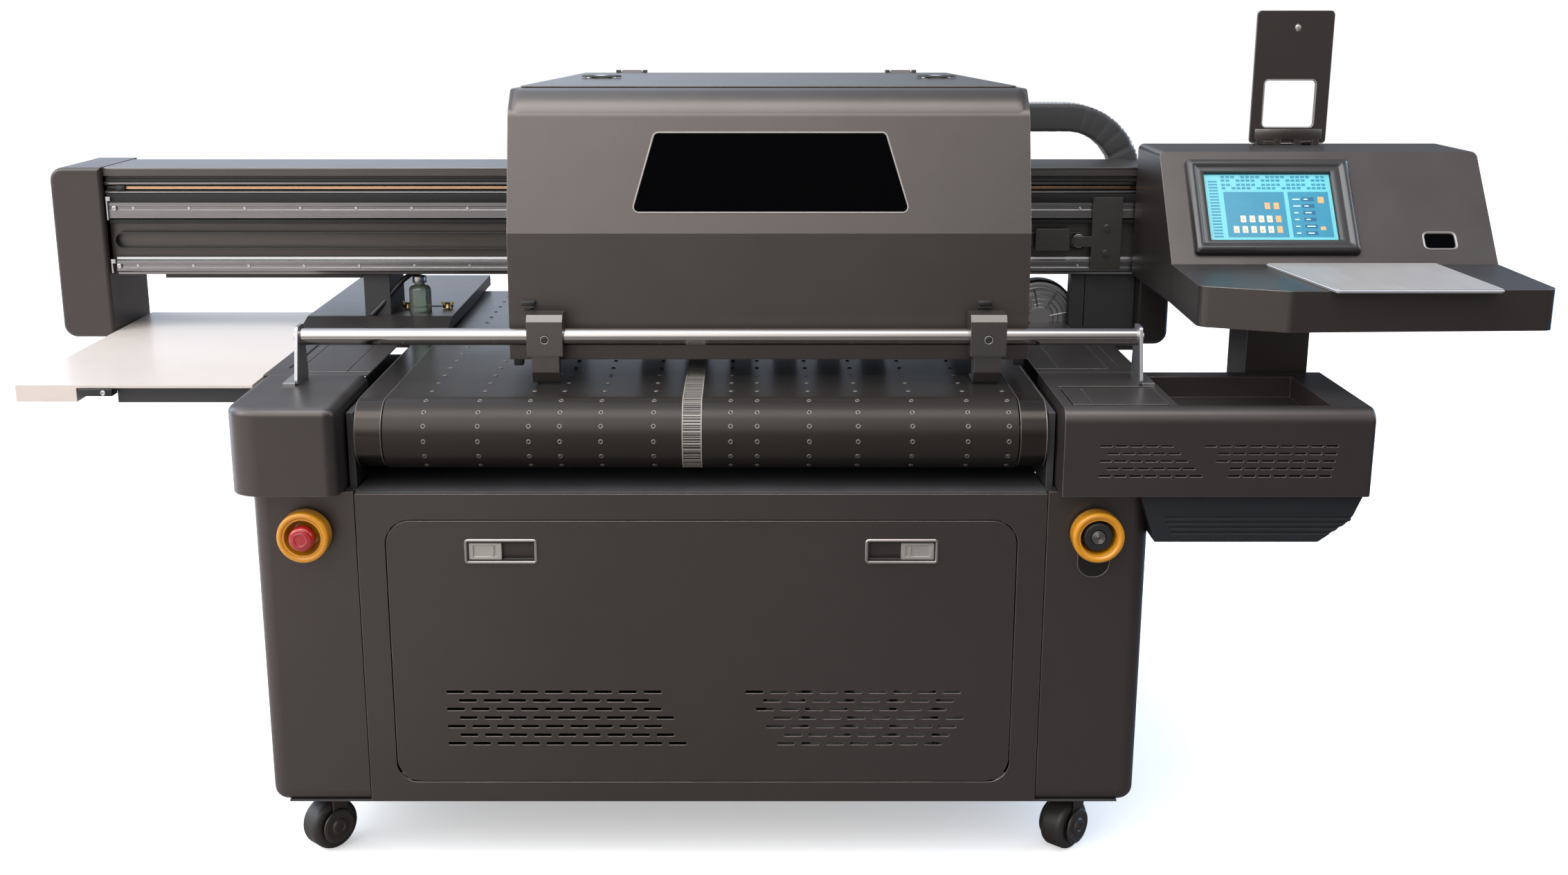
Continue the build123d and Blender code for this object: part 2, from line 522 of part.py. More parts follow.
def carriage_motor():
    """The carriage motor box and the bright bracket that holds the pulley pin."""
    box = fillet(block(705.0, 778.0, 715.0, 727.0, 1075.5, 1122.5).edges().filter_by(Axis.Y), 4.0)
    box += block(712.0, 772.0, 727.0, BEAM_FRONT, 1082.0, 1108.0)
    plate = block(825.0, 889.0, 714.0, 720.0, 1035.0, 1190.0)
    plate += block(786.0, 826.0, 714.0, 720.0, 1084.0, 1106.0)
    plate += rod("y", (PULLEY_X, 719.0, PULLEY_Z), 25.9, 4.0)
    for z in (1070.0, 1125.0):
        plate += rod("y", (857.0, 719.0, z), 25.9, 6.0)
        plate += rod("y", (857.0, 710.0, z), 5.0, 7.0)
    return group([box, plate])


def end_cap(x0, x1, low, high):
    """A hollow moulded cap over one end of the beam."""
    back = 945.0 if x0 < 0 else 924.0
    cap = block(x0, x1, 712.0, back, low, high)
    outer_x = x0 if x0 < 0 else x1
    cap = fillet(beside(cap, Axis.Y, lambda c: abs(c.X - outer_x) < 1), 28.0)
    cap = fillet([e for e in cap.edges() if e.center().Y < 713], 8.0)
    core = block(x0 + 4, x1 - 4, 716.0, back - 4, low + 4, high - 4)
    core = fillet(beside(core, Axis.Y, lambda c: abs(c.X - outer_x) < 5), 24.0)
    opening = block(BEAM_LEFT - 5, BEAM_LEFT + 1, 726.0, BEAM_BACK - 6, BEAM_LOW + 6, BEAM_TOP - 8)
    if x0 > 0:
        opening = block(BEAM_RIGHT - 1, BEAM_RIGHT + 6, 726.0, BEAM_BACK - 6, BEAM_LOW + 6, BEAM_TOP - 8)
    return cap - core - opening


def beam_end_caps():
    """The left and right beam caps."""
    return group([end_cap(-1410.0, BEAM_LEFT, 886.0, 1254.0),
                              end_cap(BEAM_RIGHT, 1000.0, 870.0, 1251.0)])


def beam_supports():
    """The columns under the beam and the dark cable strip below it."""
    left = block(-756.0, -700.0, 742.0, 900.0, 930.0, BEAM_LOW)
    right = block(822.0, 929.0, 742.0, 900.0, DECK_Z, BEAM_LOW)
    post = block(789.0, 819.0, 742.0, 776.0, DECK_Z, BEAM_LOW)
    strip = block(-1190.0, -760.0, 750.0, 900.0, BEAM_LOW - 9, BEAM_LOW)
    return group([left, right, post, strip])


def waste_bottle():
    """The glass waste bottle on the plinth, with its cap and bent tube."""
    x, y = -640.0, 775.0
    glass = rod("z", (x, y, 930.0), 62.0, 24.0)
    glass = fillet(glass.edges().sort_by(Axis.Z)[-1], 12.0)
    glass += rod("z", (x, y, 990.0), 10.0, 11.0)
    return glass + rod("z", (x, y, 998.0), 14.0, 14.0)


# ---------------------------------------------------------------- carriage
def hood_outline(inset):
    """The hood's side outline in (y, z), moved inwards by the wall thickness."""
    low = HOOD_LOW - inset * 2
    back_low = HOOD_BACK_LOW - inset * 2
    mid = HOOD_MID_Y + inset * 2
    return [(HOOD_FRONT_Y + inset, low), (250.0 + inset, 1175.0 + inset * 0.2),
            (322.0 + inset, 1397.0 - inset * 0.4), (372.0, HOOD_TOP - inset), (HOOD_BACK_Y - inset, HOOD_TOP - inset),
            (HOOD_BACK_Y - inset, back_low), (mid, back_low), (mid, low)]


def hood_solid(inset):
    """The hood as a solid: its outline pushed along X and tapered towards the back."""
    x0, x1 = HOOD_LEFT + inset, HOOD_RIGHT - inset
    face = make_face(Polyline(*hood_outline(inset), close=True))
    bend = [v for v in face.vertices() if 300 < v.Y < 380 or (300 < v.X < 380)]
    face = fillet(bend, 30.0)
    solid = extrude(Plane.YZ.offset(x0) * face, x1 - x0)
    plan = [(x0, 200.0), (x1, 200.0), (x1, 372.0), (x1 - HOOD_TAPER, HOOD_BACK_Y + 5),
            (x0 + HOOD_TAPER, HOOD_BACK_Y + 5), (x0, 372.0)]
    return solid & along_z(plan, 900.0, 1500.0)


def lid_plan(inset, front, back):
    """The lid's outline in (x, y): it narrows to the back with the hood."""
    def half_in(y):
        return inset + HOOD_TAPER * (y - 372.0) / (HOOD_BACK_Y + 5 - 372.0)
    return [(HOOD_LEFT + half_in(front), front), (HOOD_RIGHT - half_in(front), front),
            (HOOD_RIGHT - half_in(back), back), (HOOD_LEFT + half_in(back), back)]


def hood_shell():
    """The carriage hood: a folded shell that is open below and behind."""
    shell = hood_solid(0.0) - hood_solid(SHEET)
    shell -= along_z(lid_plan(28.0, 440.0, 960.0), HOOD_TOP - 8, HOOD_TOP + 5, 12.0)
    window = [(-134.0, 1214.0), (390.0, 1214.0), (346.0, 1358.0), (-92.0, 1358.0)]
    shell -= along_y(window, 220.0, 345.0, 8.0)
    # the opening for the cable chain in the right side
    shell -= block(480.0, 640.0, CHAIN_FRONT - 6, CHAIN_BACK + 4, 1306.0, 1382.0)
    for x in (-332.0, 534.0):
        shell += block(x - 11, x + 11, 231.0, 246.0, 1036.0, 1047.0)
    for x in (-180.0, 430.0):
        for side in (-1, 1):
            ear = block(x + side * 30 - 5, x + side * 30 + 5, HOOD_BACK_Y - 1, LID_HINGE_Y + 6,
                        HOOD_TOP - 20, LID_HINGE_Z + 6)
            shell += ear
        shell += rod("x", (x - 30, LID_HINGE_Y, LID_HINGE_Z), 60.0, 2.5)
    return shell


def hood_lid():
    """The top lid, with two recessed pulls and its hinge barrels."""
    low = HOOD_TOP + 0.4
    lid = along_z(lid_plan(9.0, 406.0, HOOD_BACK_Y - 4), low, low + SHEET, 10.0)
    for x in (-225.0, 482.0):
        lid -= along_z([(x - 38, 712.0), (x + 38, 712.0), (x + 38, 738.0), (x - 38, 738.0)], low - 1, low + 4, 10.0)
        cup = along_z([(x - 40, 710.0), (x + 40, 710.0), (x + 40, 740.0), (x - 40, 740.0)], low - 16, low + 1, 12.0)
        cup -= along_z([(x - 38, 712.0), (x + 38, 712.0), (x + 38, 738.0), (x - 38, 738.0)], low - 14, low + 4, 10.0)
        lid += cup
        lid += rod("x", (x - 39, 725.0, low - 1.0), 78.0, 3.0)
    for x in (-180.0, 430.0):
        lid += block(x - 22, x + 22, HOOD_BACK_Y - 5, LID_HINGE_Y, low, low + SHEET)
        lid += rod("x", (x - 22, LID_HINGE_Y, LID_HINGE_Z), 44.0, 5.5)
        lid -= rod("x", (x - 23, LID_HINGE_Y, LID_HINGE_Z), 46.0, 2.5 + RUN_FIT)
    return lid


def hood_window():
    """The dark tinted window, set in the sloping face from inside."""
    outline = [(-134.0 + 1, 1215.0), (390.0 - 1, 1215.0), (346.0 - 1, 1357.0), (-92.0 + 1, 1357.0)]
    pane = along_y(outline, 220.0, 345.0, 8.0)
    face = [(250.0, 1175.0), (322.0, 1397.0), (325.0, 1396.0), (253.0, 1175.0)]
    return pane & along_x(face, -200.0, 450.0)


def bearing_block(x, rail):
    """A carriage bearing block, a C round its rail."""
    low, high = rail
    body = block(x - 40, x + 40, 713.0, 729.4, low - 13, high + 13)
    return body - block(x - 41, x + 41, RAIL_FACE_Y - 0.5, 730.0, low - 0.5, high + 0.5)


def carriage_plate():
    """The plate that rides on the rails, with the floor that holds the print heads."""
    plate = block(-250.0, 500.0, 701.0, 713.0, 1009.0, 1208.0)
    for x in (-200.0, 450.0):
        for rail in (UPPER_RAIL, LOWER_RAIL):
            plate += bearing_block(x, rail)
    plate += block(-250.0, 500.0, 320.0, 701.0, 1009.0, 1017.0)
    plate -= block(-150.0, 400.0, 380.0, 600.0, 1008.0, 1018.0)
    for x in (-250.0, 492.0):
        plate += along_x([(320.0, 1017.0), (701.0, 1017.0), (701.0, 1208.0), (640.0, 1208.0)], x, x + 8)
    for x in (-367.9, 500.0):
        width = 117.9 if x < 0 else 116.9
        plate += block(x, x + width, 330.0, 368.0, 1009.0, 1017.0)
    return plate


def print_heads():
    """Six print heads that hang through the carriage floor."""
    heads = []
    for n in range(6):
        x = -140.0 + 90 * n
        head = block(x, x + 60, 400.0, 580.0, 940.0, 1090.0)
        head += block(x + 6, x + 54, 420.0, 560.0, 914.0, 940.0)
        heads.append(head)
    bar = block(-149.0, 399.0, 381.0, 399.8, 1010.0, 1060.0)
    return group(heads + [bar])


def uv_lamps():
    """The curing lamps at both ends of the head bank."""
    lamps = []
    for x, tab in ((-328.0, (-260.0, -250.0)), (506.0, (500.0, 510.0))):
        lamp = block(x, x + 70, 480.0, 640.0, 926.0, 1040.0)
        lamp -= block(x + 6, x + 64, 486.0, 634.0, 920.0, 940.0)
        lamps.append(lamp + block(tab[0], tab[1], 560.0, 600.0, 1017.2, 1040.0))
    return group(lamps)


def cable_chain():
    """The sleeved cable loop: it rolls at half the carriage's travel, behind the beam."""
    outer, inner = CHAIN_BEND + CHAIN_H / 2, CHAIN_BEND - CHAIN_H / 2
    loop = rod("y", (CHAIN_LOOP_X, CHAIN_FRONT, CHAIN_Z), CHAIN_BACK - CHAIN_FRONT, outer, inner)
    loop -= block(0.0, CHAIN_LOOP_X, CHAIN_FRONT - 1, CHAIN_BACK + 1, CHAIN_Z - 200, CHAIN_Z + 200)
    top = block(-50.0, CHAIN_LOOP_X, CHAIN_FRONT, CHAIN_BACK, CHAIN_Z + inner, CHAIN_Z + outer)
    bottom = block(-400.0, CHAIN_LOOP_X, CHAIN_FRONT, CHAIN_BACK, CHAIN_Z - outer, CHAIN_Z - inner)
    return loop + top + bottom


# ---------------------------------------------------------------- front bar and stops
def front_rail():
    """The chromed tube across the front."""
    return rod("x", (BAR_LEFT, BAR_Y, BAR_Z), BAR_RIGHT - BAR_LEFT, BAR_R, BAR_R - 2.5)


def rail_brackets():
    """The two upright plates that hold the tube."""
    solids = []
    for x0, x1 in ((BAR_LEFT - 6, BAR_LEFT), (BAR_RIGHT, BAR_RIGHT + 6)):
        outline = [(140.0, DECK_Z), (228.0, DECK_Z), (212.0, BAR_Z + 22), (168.0, BAR_Z + 22)]
        plate = along_x(outline, x0, x1, 8.0)
        foot_x = x0 - 22 if x0 < 0 else x1 - 1
        plate += block(foot_x, foot_x + 23, 142.0, 226.0, DECK_Z, DECK_Z + 5)
        plate += rod("x", (x0 - 6 if x0 < 0 else x1 - 1, BAR_Y, BAR_Z), 7.0, 9.0)
        solids.append(plate)
    return group(solids)


def clamp_stop(x):
    """A sliding stop on the tube: a block, its set screw and the hook that reaches the belt."""
    half = STOP_W / 2
    outline = [(160.0, 957.0), (226.0, 957.0), (226.0, 1022.0), (216.0, 1034.0), (170.0, 1034.0), (160.0, 1022.0)]
    body = along_x(outline, x - half, x + half)
    body -= rod("x", (x - half - 1, BAR_Y, BAR_Z), STOP_W + 2, BAR_R + 0.08)
    body -= rod("y", (x, 159.0, BAR_Z), 8.0, 9.0)
    screw = rod("y", (x, 161.0, BAR_Z), 7.0, 7.0)
    screw -= rod("y", (x, 160.0, BAR_Z), 5.0, 3.5)
    body += screw
    arm = [(166.0, 958.0), (166.0, 925.0), (178.0, 903.5), (234.0, 903.5), (234.0, 908.0), (206.0, 912.0),
           (206.0, 958.0)]
    return body + along_x(arm, x - half + 8, x + half - 8)


# ---------------------------------------------------------------- buttons
def button_collars():
    """The yellow guard rings of the stop button and of the key switch."""
    collars = []
    for side in (-1, 1):
        base = rod("y", (side * BUTTON_X, -9.0, BUTTON_Z), 9.0, 41.0)
        rim = rod("y", (side * BUTTON_X, -38.0, BUTTON_Z), 30.0, COLLAR_R)
        ring = fillet((base + rim).edges().sort_by(Axis.Y)[0], 6.0)
        ring -= rod("y", (side * BUTTON_X, -40.0, BUTTON_Z), 34.0, 33.0)
        ring -= rod("y", (side * BUTTON_X, -7.0, BUTTON_Z), 8.0, 13.0)
        collars.append(ring)
    return group(collars)


def stop_button():
    """The red mushroom head with its stem."""
    x = -BUTTON_X
    head = rod("y", (x, -52.0, BUTTON_Z), 20.0, 23.0)
    head = fillet(head.edges().sort_by(Axis.Y)[0], 8.0)
    return head + rod("y", (x, -33.0, BUTTON_Z), 55.0, 11.0)


def key_knob():
    """The black rotary switch inside the right ring."""
    x = BUTTON_X
    knob = rod("y", (x, -34.0, BUTTON_Z), 26.0, 27.0)
    knob = fillet(knob.edges().sort_by(Axis.Y)[0], 5.0)
    knob -= rod("y", (x, -35.0, BUTTON_Z), 6.0, 14.0, 10.0)
    knob -= block(x - 1.5, x + 1.5, -36.0, -31.0, BUTTON_Z - 9, BUTTON_Z + 9)
    return knob + rod("y", (x, -9.0, BUTTON_Z), 30.0, 11.0)


# ---------------------------------------------------------------- console
def console_solid(inset):
    """The console as a solid, moved inwards by the wall thickness."""
    i = inset
    shelf = along_z([(CONSOLE_LEFT + i, 370.0), (905.0 + i, 99.0 + i * 0.8), (1054.0 + i * 0.3, 40.0 + i),
                     (1540.0 - i, 60.0 + i), (CONSOLE_RIGHT - i, 370.0)],
                    CONSOLE_LOW - i * 2, SHELF_Z - i)
    shelf = fillet([e for e in shelf.edges().filter_by(Axis.Z) if e.center().Y < 300], 24.0 - i)
    wedge = along_x([(FACE_FRONT_Y + i * 0.7, CONSOLE_LOW - i * 2), (FACE_FRONT_Y + i * 0.7, SHELF_Z),
                     (FACE_BACK_Y + i * 0.7, CONSOLE_TOP - i), (CONSOLE_BACK - i, CONSOLE_TOP - i),
                     (CONSOLE_BACK - i, CONSOLE_LOW - i * 2)], CONSOLE_LEFT + i, CONSOLE_RIGHT - i)
    for side in (CONSOLE_LEFT + i, CONSOLE_RIGHT - i):
        top = [e for e in wedge.edges() if abs(e.center().X - side) < 1 and e.center().Z > CONSOLE_TOP - 12
               and abs(e.tangent_at(0.5).Y) > 0.9]
        wedge = fillet(top, 12.0)
    return shelf + wedge


def on_face(x0, x1, t0, t1, depth0, depth1):
    """A block on the sloping face: x range, place up the slope in mm, and depth along its normal."""
    rise, run = CONSOLE_TOP - SHELF_Z, FACE_BACK_Y - FACE_FRONT_Y
    length = (rise ** 2 + run ** 2) ** 0.5
    plane = Plane(origin=(0, FACE_FRONT_Y, SHELF_Z), x_dir=(1, 0, 0), z_dir=(0, -rise / length, run / length))
    box = Pos((x0 + x1) / 2, (t0 + t1) / 2, (depth0 + depth1) / 2) * Box(x1 - x0, t1 - t0, depth1 - depth0)
    return plane * box


def console_housing():
    """The operator console, hollow and open below, with openings for the screen and the port."""
    shell = console_solid(0.0) - console_solid(4.0)
    shell -= on_face(978.0, 1273.0, 34.0, 222.0, -30.0, 10.0)
    shell -= on_face(1419.0, 1479.0, 36.0, 70.0, -30.0, 10.0)
    # a slot for the folding plate's knuckles
    shell -= block(PLATE_X - 72, PLATE_X + 72, PLATE_Y - 9, PLATE_Y + 9, CONSOLE_TOP - 8, CONSOLE_TOP + 1)
    return shell + plate_hinge()


def touch_screen():
    """The touch screen in its raised bezel, and the dark port beside it."""
    bezel = on_face(965.0, 1286.0, 23.0, 233.0, 0.0, 12.0)
    bezel += on_face(980.0, 1271.0, 36.0, 220.0, -24.0, 1.0)
    bezel -= on_face(995.0, 1249.0, 48.0, 204.0, 4.0, 13.0)
    port = on_face(1420.5, 1477.5, 37.5, 68.5, -20.0, -2.0)
    return group([bezel, port])


def console_post():
    """The post behind the arm that carries the console, with its top plate."""
    post = block(1048.0, 1168.0, 275.0, 400.0, 750.0, 1032.0)
    post -= block(1052.0, 1164.0, 279.0, 396.0, 749.0, 1027.0)
    post += block(1000.0, 1400.0, 130.0, 640.0, 1027.0, 1033.0)
    return post + block(1048.0, 1168.0, ARM_BACK, 276.0, 760.0, 895.0)


def desk_pad():
    """The thin pad that lies on the console shelf, over its front edge."""
    outline = [(1128.0, 20.0), (1424.0, 20.0), (1420.0, 330.0), (1092.0, 330.0)]
    return along_z(outline, SHELF_Z + 0.2, SHELF_Z + 7.0, 6.0)


def folding_plate():
    """The tall plate on the console top, with its square window and hinge knuckles."""
    half, z0 = PLATE_W / 2, CONSOLE_TOP + 3.0
    plate = rounded_panel(PLATE_X - half, PLATE_X + half, z0, CONSOLE_TOP + PLATE_H, 9.0,
                          PLATE_Y - 3, PLATE_Y + 3)
    plate -= rounded_panel(PLATE_X - 55, PLATE_X + 51, 1342.0, 1438.0, 8.0, PLATE_Y - 4, PLATE_Y + 4)
    plate -= rod("y", (PLATE_X + 5, PLATE_Y - 4, 1546.0), 8.0, 7.0)
    for x in HINGE_EARS:
        plate -= block(PLATE_X + x - 1, PLATE_X + x + 15, PLATE_Y - 4, PLATE_Y + 4, z0 - 1, CONSOLE_TOP + 20)
    for x in (PLATE_X - 50, PLATE_X + 30):
        plate += rod("x", (x, PLATE_Y, CONSOLE_TOP + 6), 20.0, 5.5)
    return plate - rod("x", (PLATE_X - 90, PLATE_Y, CONSOLE_TOP + 6), 180.0, 2.5 + RUN_FIT)


def plate_hinge():
    """The hinge base of the folding plate: its ears and pin, fixed to the console top."""
    base = block(PLATE_X - 70, PLATE_X + 70, PLATE_Y + 7, PLATE_Y + 12, CONSOLE_TOP - 3, CONSOLE_TOP + 1)
    for x in HINGE_EARS:
        base += block(PLATE_X + x, PLATE_X + x + 14, PLATE_Y - 6, PLATE_Y + 12, CONSOLE_TOP - 7, CONSOLE_TOP + 12)
    return base + rod("x", (PLATE_X - 66, PLATE_Y, CONSOLE_TOP + 6), 132.0, 2.5)


# ---------------------------------------------------------------- side table
def side_table():
    """The white infeed table: a thick left edge, a thin top and the channel rail under it."""
    top = block(TABLE_LEFT, TABLE_RIGHT, TABLE_FRONT, TABLE_BACK, 894.0, 900.0)
    top += block(TABLE_LEFT, -1180.0, TABLE_FRONT, TABLE_BACK, 868.0, 895.0)
    top -= block(TABLE_LEFT + 4, -1184.0, TABLE_FRONT + 4, TABLE_BACK - 4, 867.0, 892.0)
    return top


def table_rail():
    """The channel and black brackets that hold the side table off the left deck."""
    channel = block(-1110.0, -DECK_HALF, 190.0, 240.0, 862.0, 893.0)
    channel -= block(-1108.0, -DECK_HALF + 1, 193.0, 237.0, 861.0, 890.0)
    rear = block(-1110.0, -DECK_HALF, 850.0, 900.0, 862.0, 893.0)
    rear -= block(-1108.0, -DECK_HALF + 1, 853.0, 897.0, 861.0, 890.0)
    brace = block(-1176.0, -1112.0, 196.0, 236.0, 884.0, 894.0)
    return group([channel, rear, brace])


# ---------------------------------------------------------------- casters
def swivelled(shape, x, y):
    """A caster piece turned about its upright pin to where it stands."""
    return Pos(x, y, 0) * Rot(0, 0, CASTER_TURN) * Pos(-x, -y, 0) * shape


def caster_fork(x, y):
    """A swivel caster's fork with its round dust cover, which turns on the pin of its top plate."""
    top = CABINET_LOW - 12.5
    crown = rod("z", (x, y, top - 9), 9.0, 50.0)
    crown = fillet(crown.edges().sort_by(Axis.Z)[0], 6.0)
    axle_y = y + CASTER_TRAIL
    for side in (-1, 1):
        inner = x + side * (WHEEL_W / 2 + 1.5)
        outer = inner + side * 3.0
        ear = along_x([(y - 6, top - 2), (y + 32, top - 2), (axle_y + 11, WHEEL_R - 8), (axle_y - 11, WHEEL_R - 8)],
                      min(inner, outer), max(inner, outer), 3.0)
        crown += ear
    crown += rod("x", (x - WHEEL_W / 2 - 5, axle_y, WHEEL_R), WHEEL_W + 10, 5.0)
    crown -= rod("z", (x, y, top - 12), 20.0, 6.0 + RUN_FIT)
    return swivelled(crown, x, y)


def caster_wheel(x, y):
    """A caster wheel with a rounded tread, dished sides and its bore."""
    wheel = rod("x", (x - WHEEL_W / 2, y + CASTER_TRAIL, WHEEL_R), WHEEL_W, WHEEL_R)
    wheel = fillet(wheel.edges(), 12.0)
    for start in (x - WHEEL_W / 2 - 1, x + WHEEL_W / 2 - 5):
        wheel -= rod("x", (start, y + CASTER_TRAIL, WHEEL_R), 6.0, 32.0, 14.0)
    wheel -= rod("x", (x - WHEEL_W, y + CASTER_TRAIL, WHEEL_R), 2 * WHEEL_W, 5.0 + RUN_FIT)
    return swivelled(wheel, x, y)


# ---------------------------------------------------------------- assembly
parts["cabinet_frame"] = cabinet_frame()
parts["base_pan"] = base_pan()
parts["front_panel"] = front_panel()
parts["front_door"] = front_door()
parts["left_latch"] = latch(-1)
parts["right_latch"] = latch(1)
parts["side_covers"] = group([side_cover(), mirrored(side_cover())])
parts["rear_panel"] = rear_panel()
parts["control_box"] = control_box()
parts["ink_tanks"] = ink_tanks()
parts["left_nose_cap"] = left_nose_cap()
parts["deck_covers"] = deck_covers()
parts["side_plinth"] = side_plinth()
parts["arm_housing"] = arm_housing()
parts["ink_lid"] = ink_lid()
parts["arm_skirt"] = arm_skirt()
parts["vacuum_belt"] = vacuum_belt()
parts["side_guards"] = side_guards()
parts["front_roller"] = roller(ROLLER_FRONT_Y, 636.0)
parts["rear_roller"] = roller(ROLLER_REAR_Y, 670.0)
parts["belt_motor"] = belt_motor()
parts["vacuum_box"] = vacuum_box()
parts["vacuum_blower"] = vacuum_blower()
parts["beam"] = beam()
parts["guide_rails"] = guide_rails()
parts["carriage_drive_belt"] = carriage_drive_belt()
parts["drive_pulley"] = drive_pulley()
parts["carriage_motor"] = carriage_motor()
parts["beam_end_caps"] = beam_end_caps()
parts["beam_supports"] = beam_supports()
parts["waste_bottle"] = waste_bottle()
parts["hood_shell"] = hood_shell()
parts["hood_lid"] = hood_lid()
parts["hood_window"] = hood_window()
parts["carriage_plate"] = carriage_plate()
parts["print_heads"] = print_heads()
parts["uv_lamps"] = uv_lamps()
parts["cable_chain"] = cable_chain()
parts["front_rail"] = front_rail()
parts["rail_brackets"] = rail_brackets()
parts["left_stop"] = clamp_stop(LEFT_STOP_X)
parts["right_stop"] = clamp_stop(RIGHT_STOP_X)
parts["button_collars"] = button_collars()
parts["stop_button"] = stop_button()
parts["key_knob"] = key_knob()
parts["console_housing"] = console_housing()
parts["touch_screen"] = touch_screen()
parts["console_post"] = console_post()
parts["desk_pad"] = desk_pad()
parts["folding_plate"] = folding_plate()
parts["side_table"] = side_table()
parts["table_rail"] = table_rail()
for name, x, y in (("front_left", -CASTER_X, CASTER_FRONT_Y), ("front_right", CASTER_X, CASTER_FRONT_Y),
                   ("rear_left", -CASTER_X, CASTER_REAR_Y), ("rear_right", CASTER_X, CASTER_REAR_Y)):
    parts[name + "_fork"] = caster_fork(x, y)
    parts[name + "_wheel"] = caster_wheel(x, y)

# the exported origin is the middle of the whole machine's footprint, on the floor
whole = group(parts.values()).bounding_box()
ORIGIN = ((whole.min.X + whole.max.X) / 2, (whole.min.Y + whole.max.Y) / 2, whole.min.Z)

os.makedirs("parts", exist_ok=True)
for name, shape in parts.items():
    export_step(Pos(-ORIGIN[0], -ORIGIN[1], -ORIGIN[2]) * shape, f"parts/{name}.step")
print(len(parts), "nodes; origin", ORIGIN, "size", whole.size)
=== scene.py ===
# %% [markdown]
# # A belt-fed flatbed printer
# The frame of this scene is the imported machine. Its sheet metal, beam, belt, casters and console are
# already the right shape, so they stay and only get better finishes. What a lesson in Blender adds is
# everything that a sheet-metal drawing leaves out: the eyelets of the belt, the soft cable sleeve, the
# trims, screws and knobs, and the way powder coat, rubber and steel catch the light.

import math
import random

import bmesh
import bpy
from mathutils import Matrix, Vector


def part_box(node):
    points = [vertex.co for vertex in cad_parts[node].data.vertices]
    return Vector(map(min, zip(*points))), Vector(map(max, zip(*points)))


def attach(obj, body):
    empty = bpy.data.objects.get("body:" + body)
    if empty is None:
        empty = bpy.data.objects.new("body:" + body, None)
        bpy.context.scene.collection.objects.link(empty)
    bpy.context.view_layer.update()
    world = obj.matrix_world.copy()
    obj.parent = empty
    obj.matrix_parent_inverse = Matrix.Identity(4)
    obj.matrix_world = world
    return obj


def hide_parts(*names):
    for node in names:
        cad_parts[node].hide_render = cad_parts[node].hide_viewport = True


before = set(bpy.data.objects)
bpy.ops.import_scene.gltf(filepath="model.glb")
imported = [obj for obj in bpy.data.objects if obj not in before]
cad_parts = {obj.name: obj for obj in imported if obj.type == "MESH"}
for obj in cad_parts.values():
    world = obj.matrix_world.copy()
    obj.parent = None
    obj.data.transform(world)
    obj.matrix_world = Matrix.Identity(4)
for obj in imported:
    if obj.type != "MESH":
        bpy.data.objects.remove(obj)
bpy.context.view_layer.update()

# %% [markdown]
# Sizes on a machine like this are easiest to think about in millimetres from three faces: the middle
# of the belt, the front sheet of the cabinet and the floor. The belt and the front sheet of the frame
# say where those are, so a helper turns such a point into metres of the shared frame.

# %% A ruler on the machine
belt_low, belt_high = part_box("vacuum_belt")
MIDDLE = (belt_low.x + belt_high.x) / 2
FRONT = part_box("front_panel")[0].y
MM = 0.001


def at(x, y, z):
    return Vector((MIDDLE + x * MM, FRONT + y * MM, z * MM))


print("belt middle", round(MIDDLE, 4), "front sheet", round(FRONT, 4))

# %% [markdown]
# The camera stands in front of the machine at head height and looks down a little, with a mild lens.
# Nothing tilts sideways, so one turn about X is enough, and a small shift sets the machine left of
# the middle of the picture.

# %% Camera
EYE = Vector((0.0189, -3.6470, 1.6143))
LOOK_DOWN = math.radians(14.336)

lens = bpy.data.cameras.new("studio_camera")
lens.sensor_width = 36.0
lens.lens = 39.9
lens.shift_x = 0.0208
lens.clip_end = 60.0
camera = bpy.data.objects.new("studio_camera", lens)
camera.location = EYE
camera.rotation_euler = (math.pi / 2 - LOOK_DOWN, 0.0, 0.0)
bpy.context.scene.collection.objects.link(camera)
bpy.context.scene.camera = camera
bpy.context.scene.view_settings.view_transform = "Standard"
print("camera at", tuple(round(v, 3) for v in EYE))

# %% [markdown]
# Light and finishes are all made of shader nodes, and a node is always the same few steps: make it, set
# it, give its inputs a number or a wire from another node. One small function does the three.

# %% A node and its wires
WHITE = (1.0, 1.0, 1.0, 1.0)


def wired(tree, kind, inputs, **settings):
    made = tree.nodes.new("ShaderNode" + kind)
    for label, setting in settings.items():
        setattr(made, label, setting)
    for label, value in inputs.items():
        socket = made.inputs[label]
        if isinstance(value, bpy.types.NodeSocket):
            tree.links.new(value, socket)
        else:
            socket.default_value = value
    return made


def calc(tree, operation, *values):
    return wired(tree, "Math", dict(enumerate(values)), operation=operation).outputs[0]


def blend_colour(tree, mask, first, second):
    inputs = {"Factor": mask, "A": first, "B": second}
    return wired(tree, "Mix", inputs, data_type="RGBA").outputs["Result"]


def scaled(tree, colour, amount):
    return wired(tree, "VectorMath", {0: colour, "Scale": amount}, operation="SCALE").outputs[0]


def colour_ramp(tree, place, stops):
    ramp = wired(tree, "ValToRGB", {"Fac": place})
    elements = ramp.color_ramp.elements
    while len(elements) < len(stops):
        elements.new(0.5)
    for element, (position, colour) in zip(elements, stops):
        element.position = position
        element.color = (*colour, 1.0)
    return ramp.outputs["Color"]


print("node helpers ready")

# %% [markdown]
# Satin powder coat shows its form by what it reflects. A room that is bright above and dimmer at
# eye height makes the tops light and the fronts deep, so the world is a soft ramp from the floor
# up to the ceiling. It is cooler behind the machine and dimmer on its right, which sets one side of
# every form off from the other. The camera itself sees plain white.

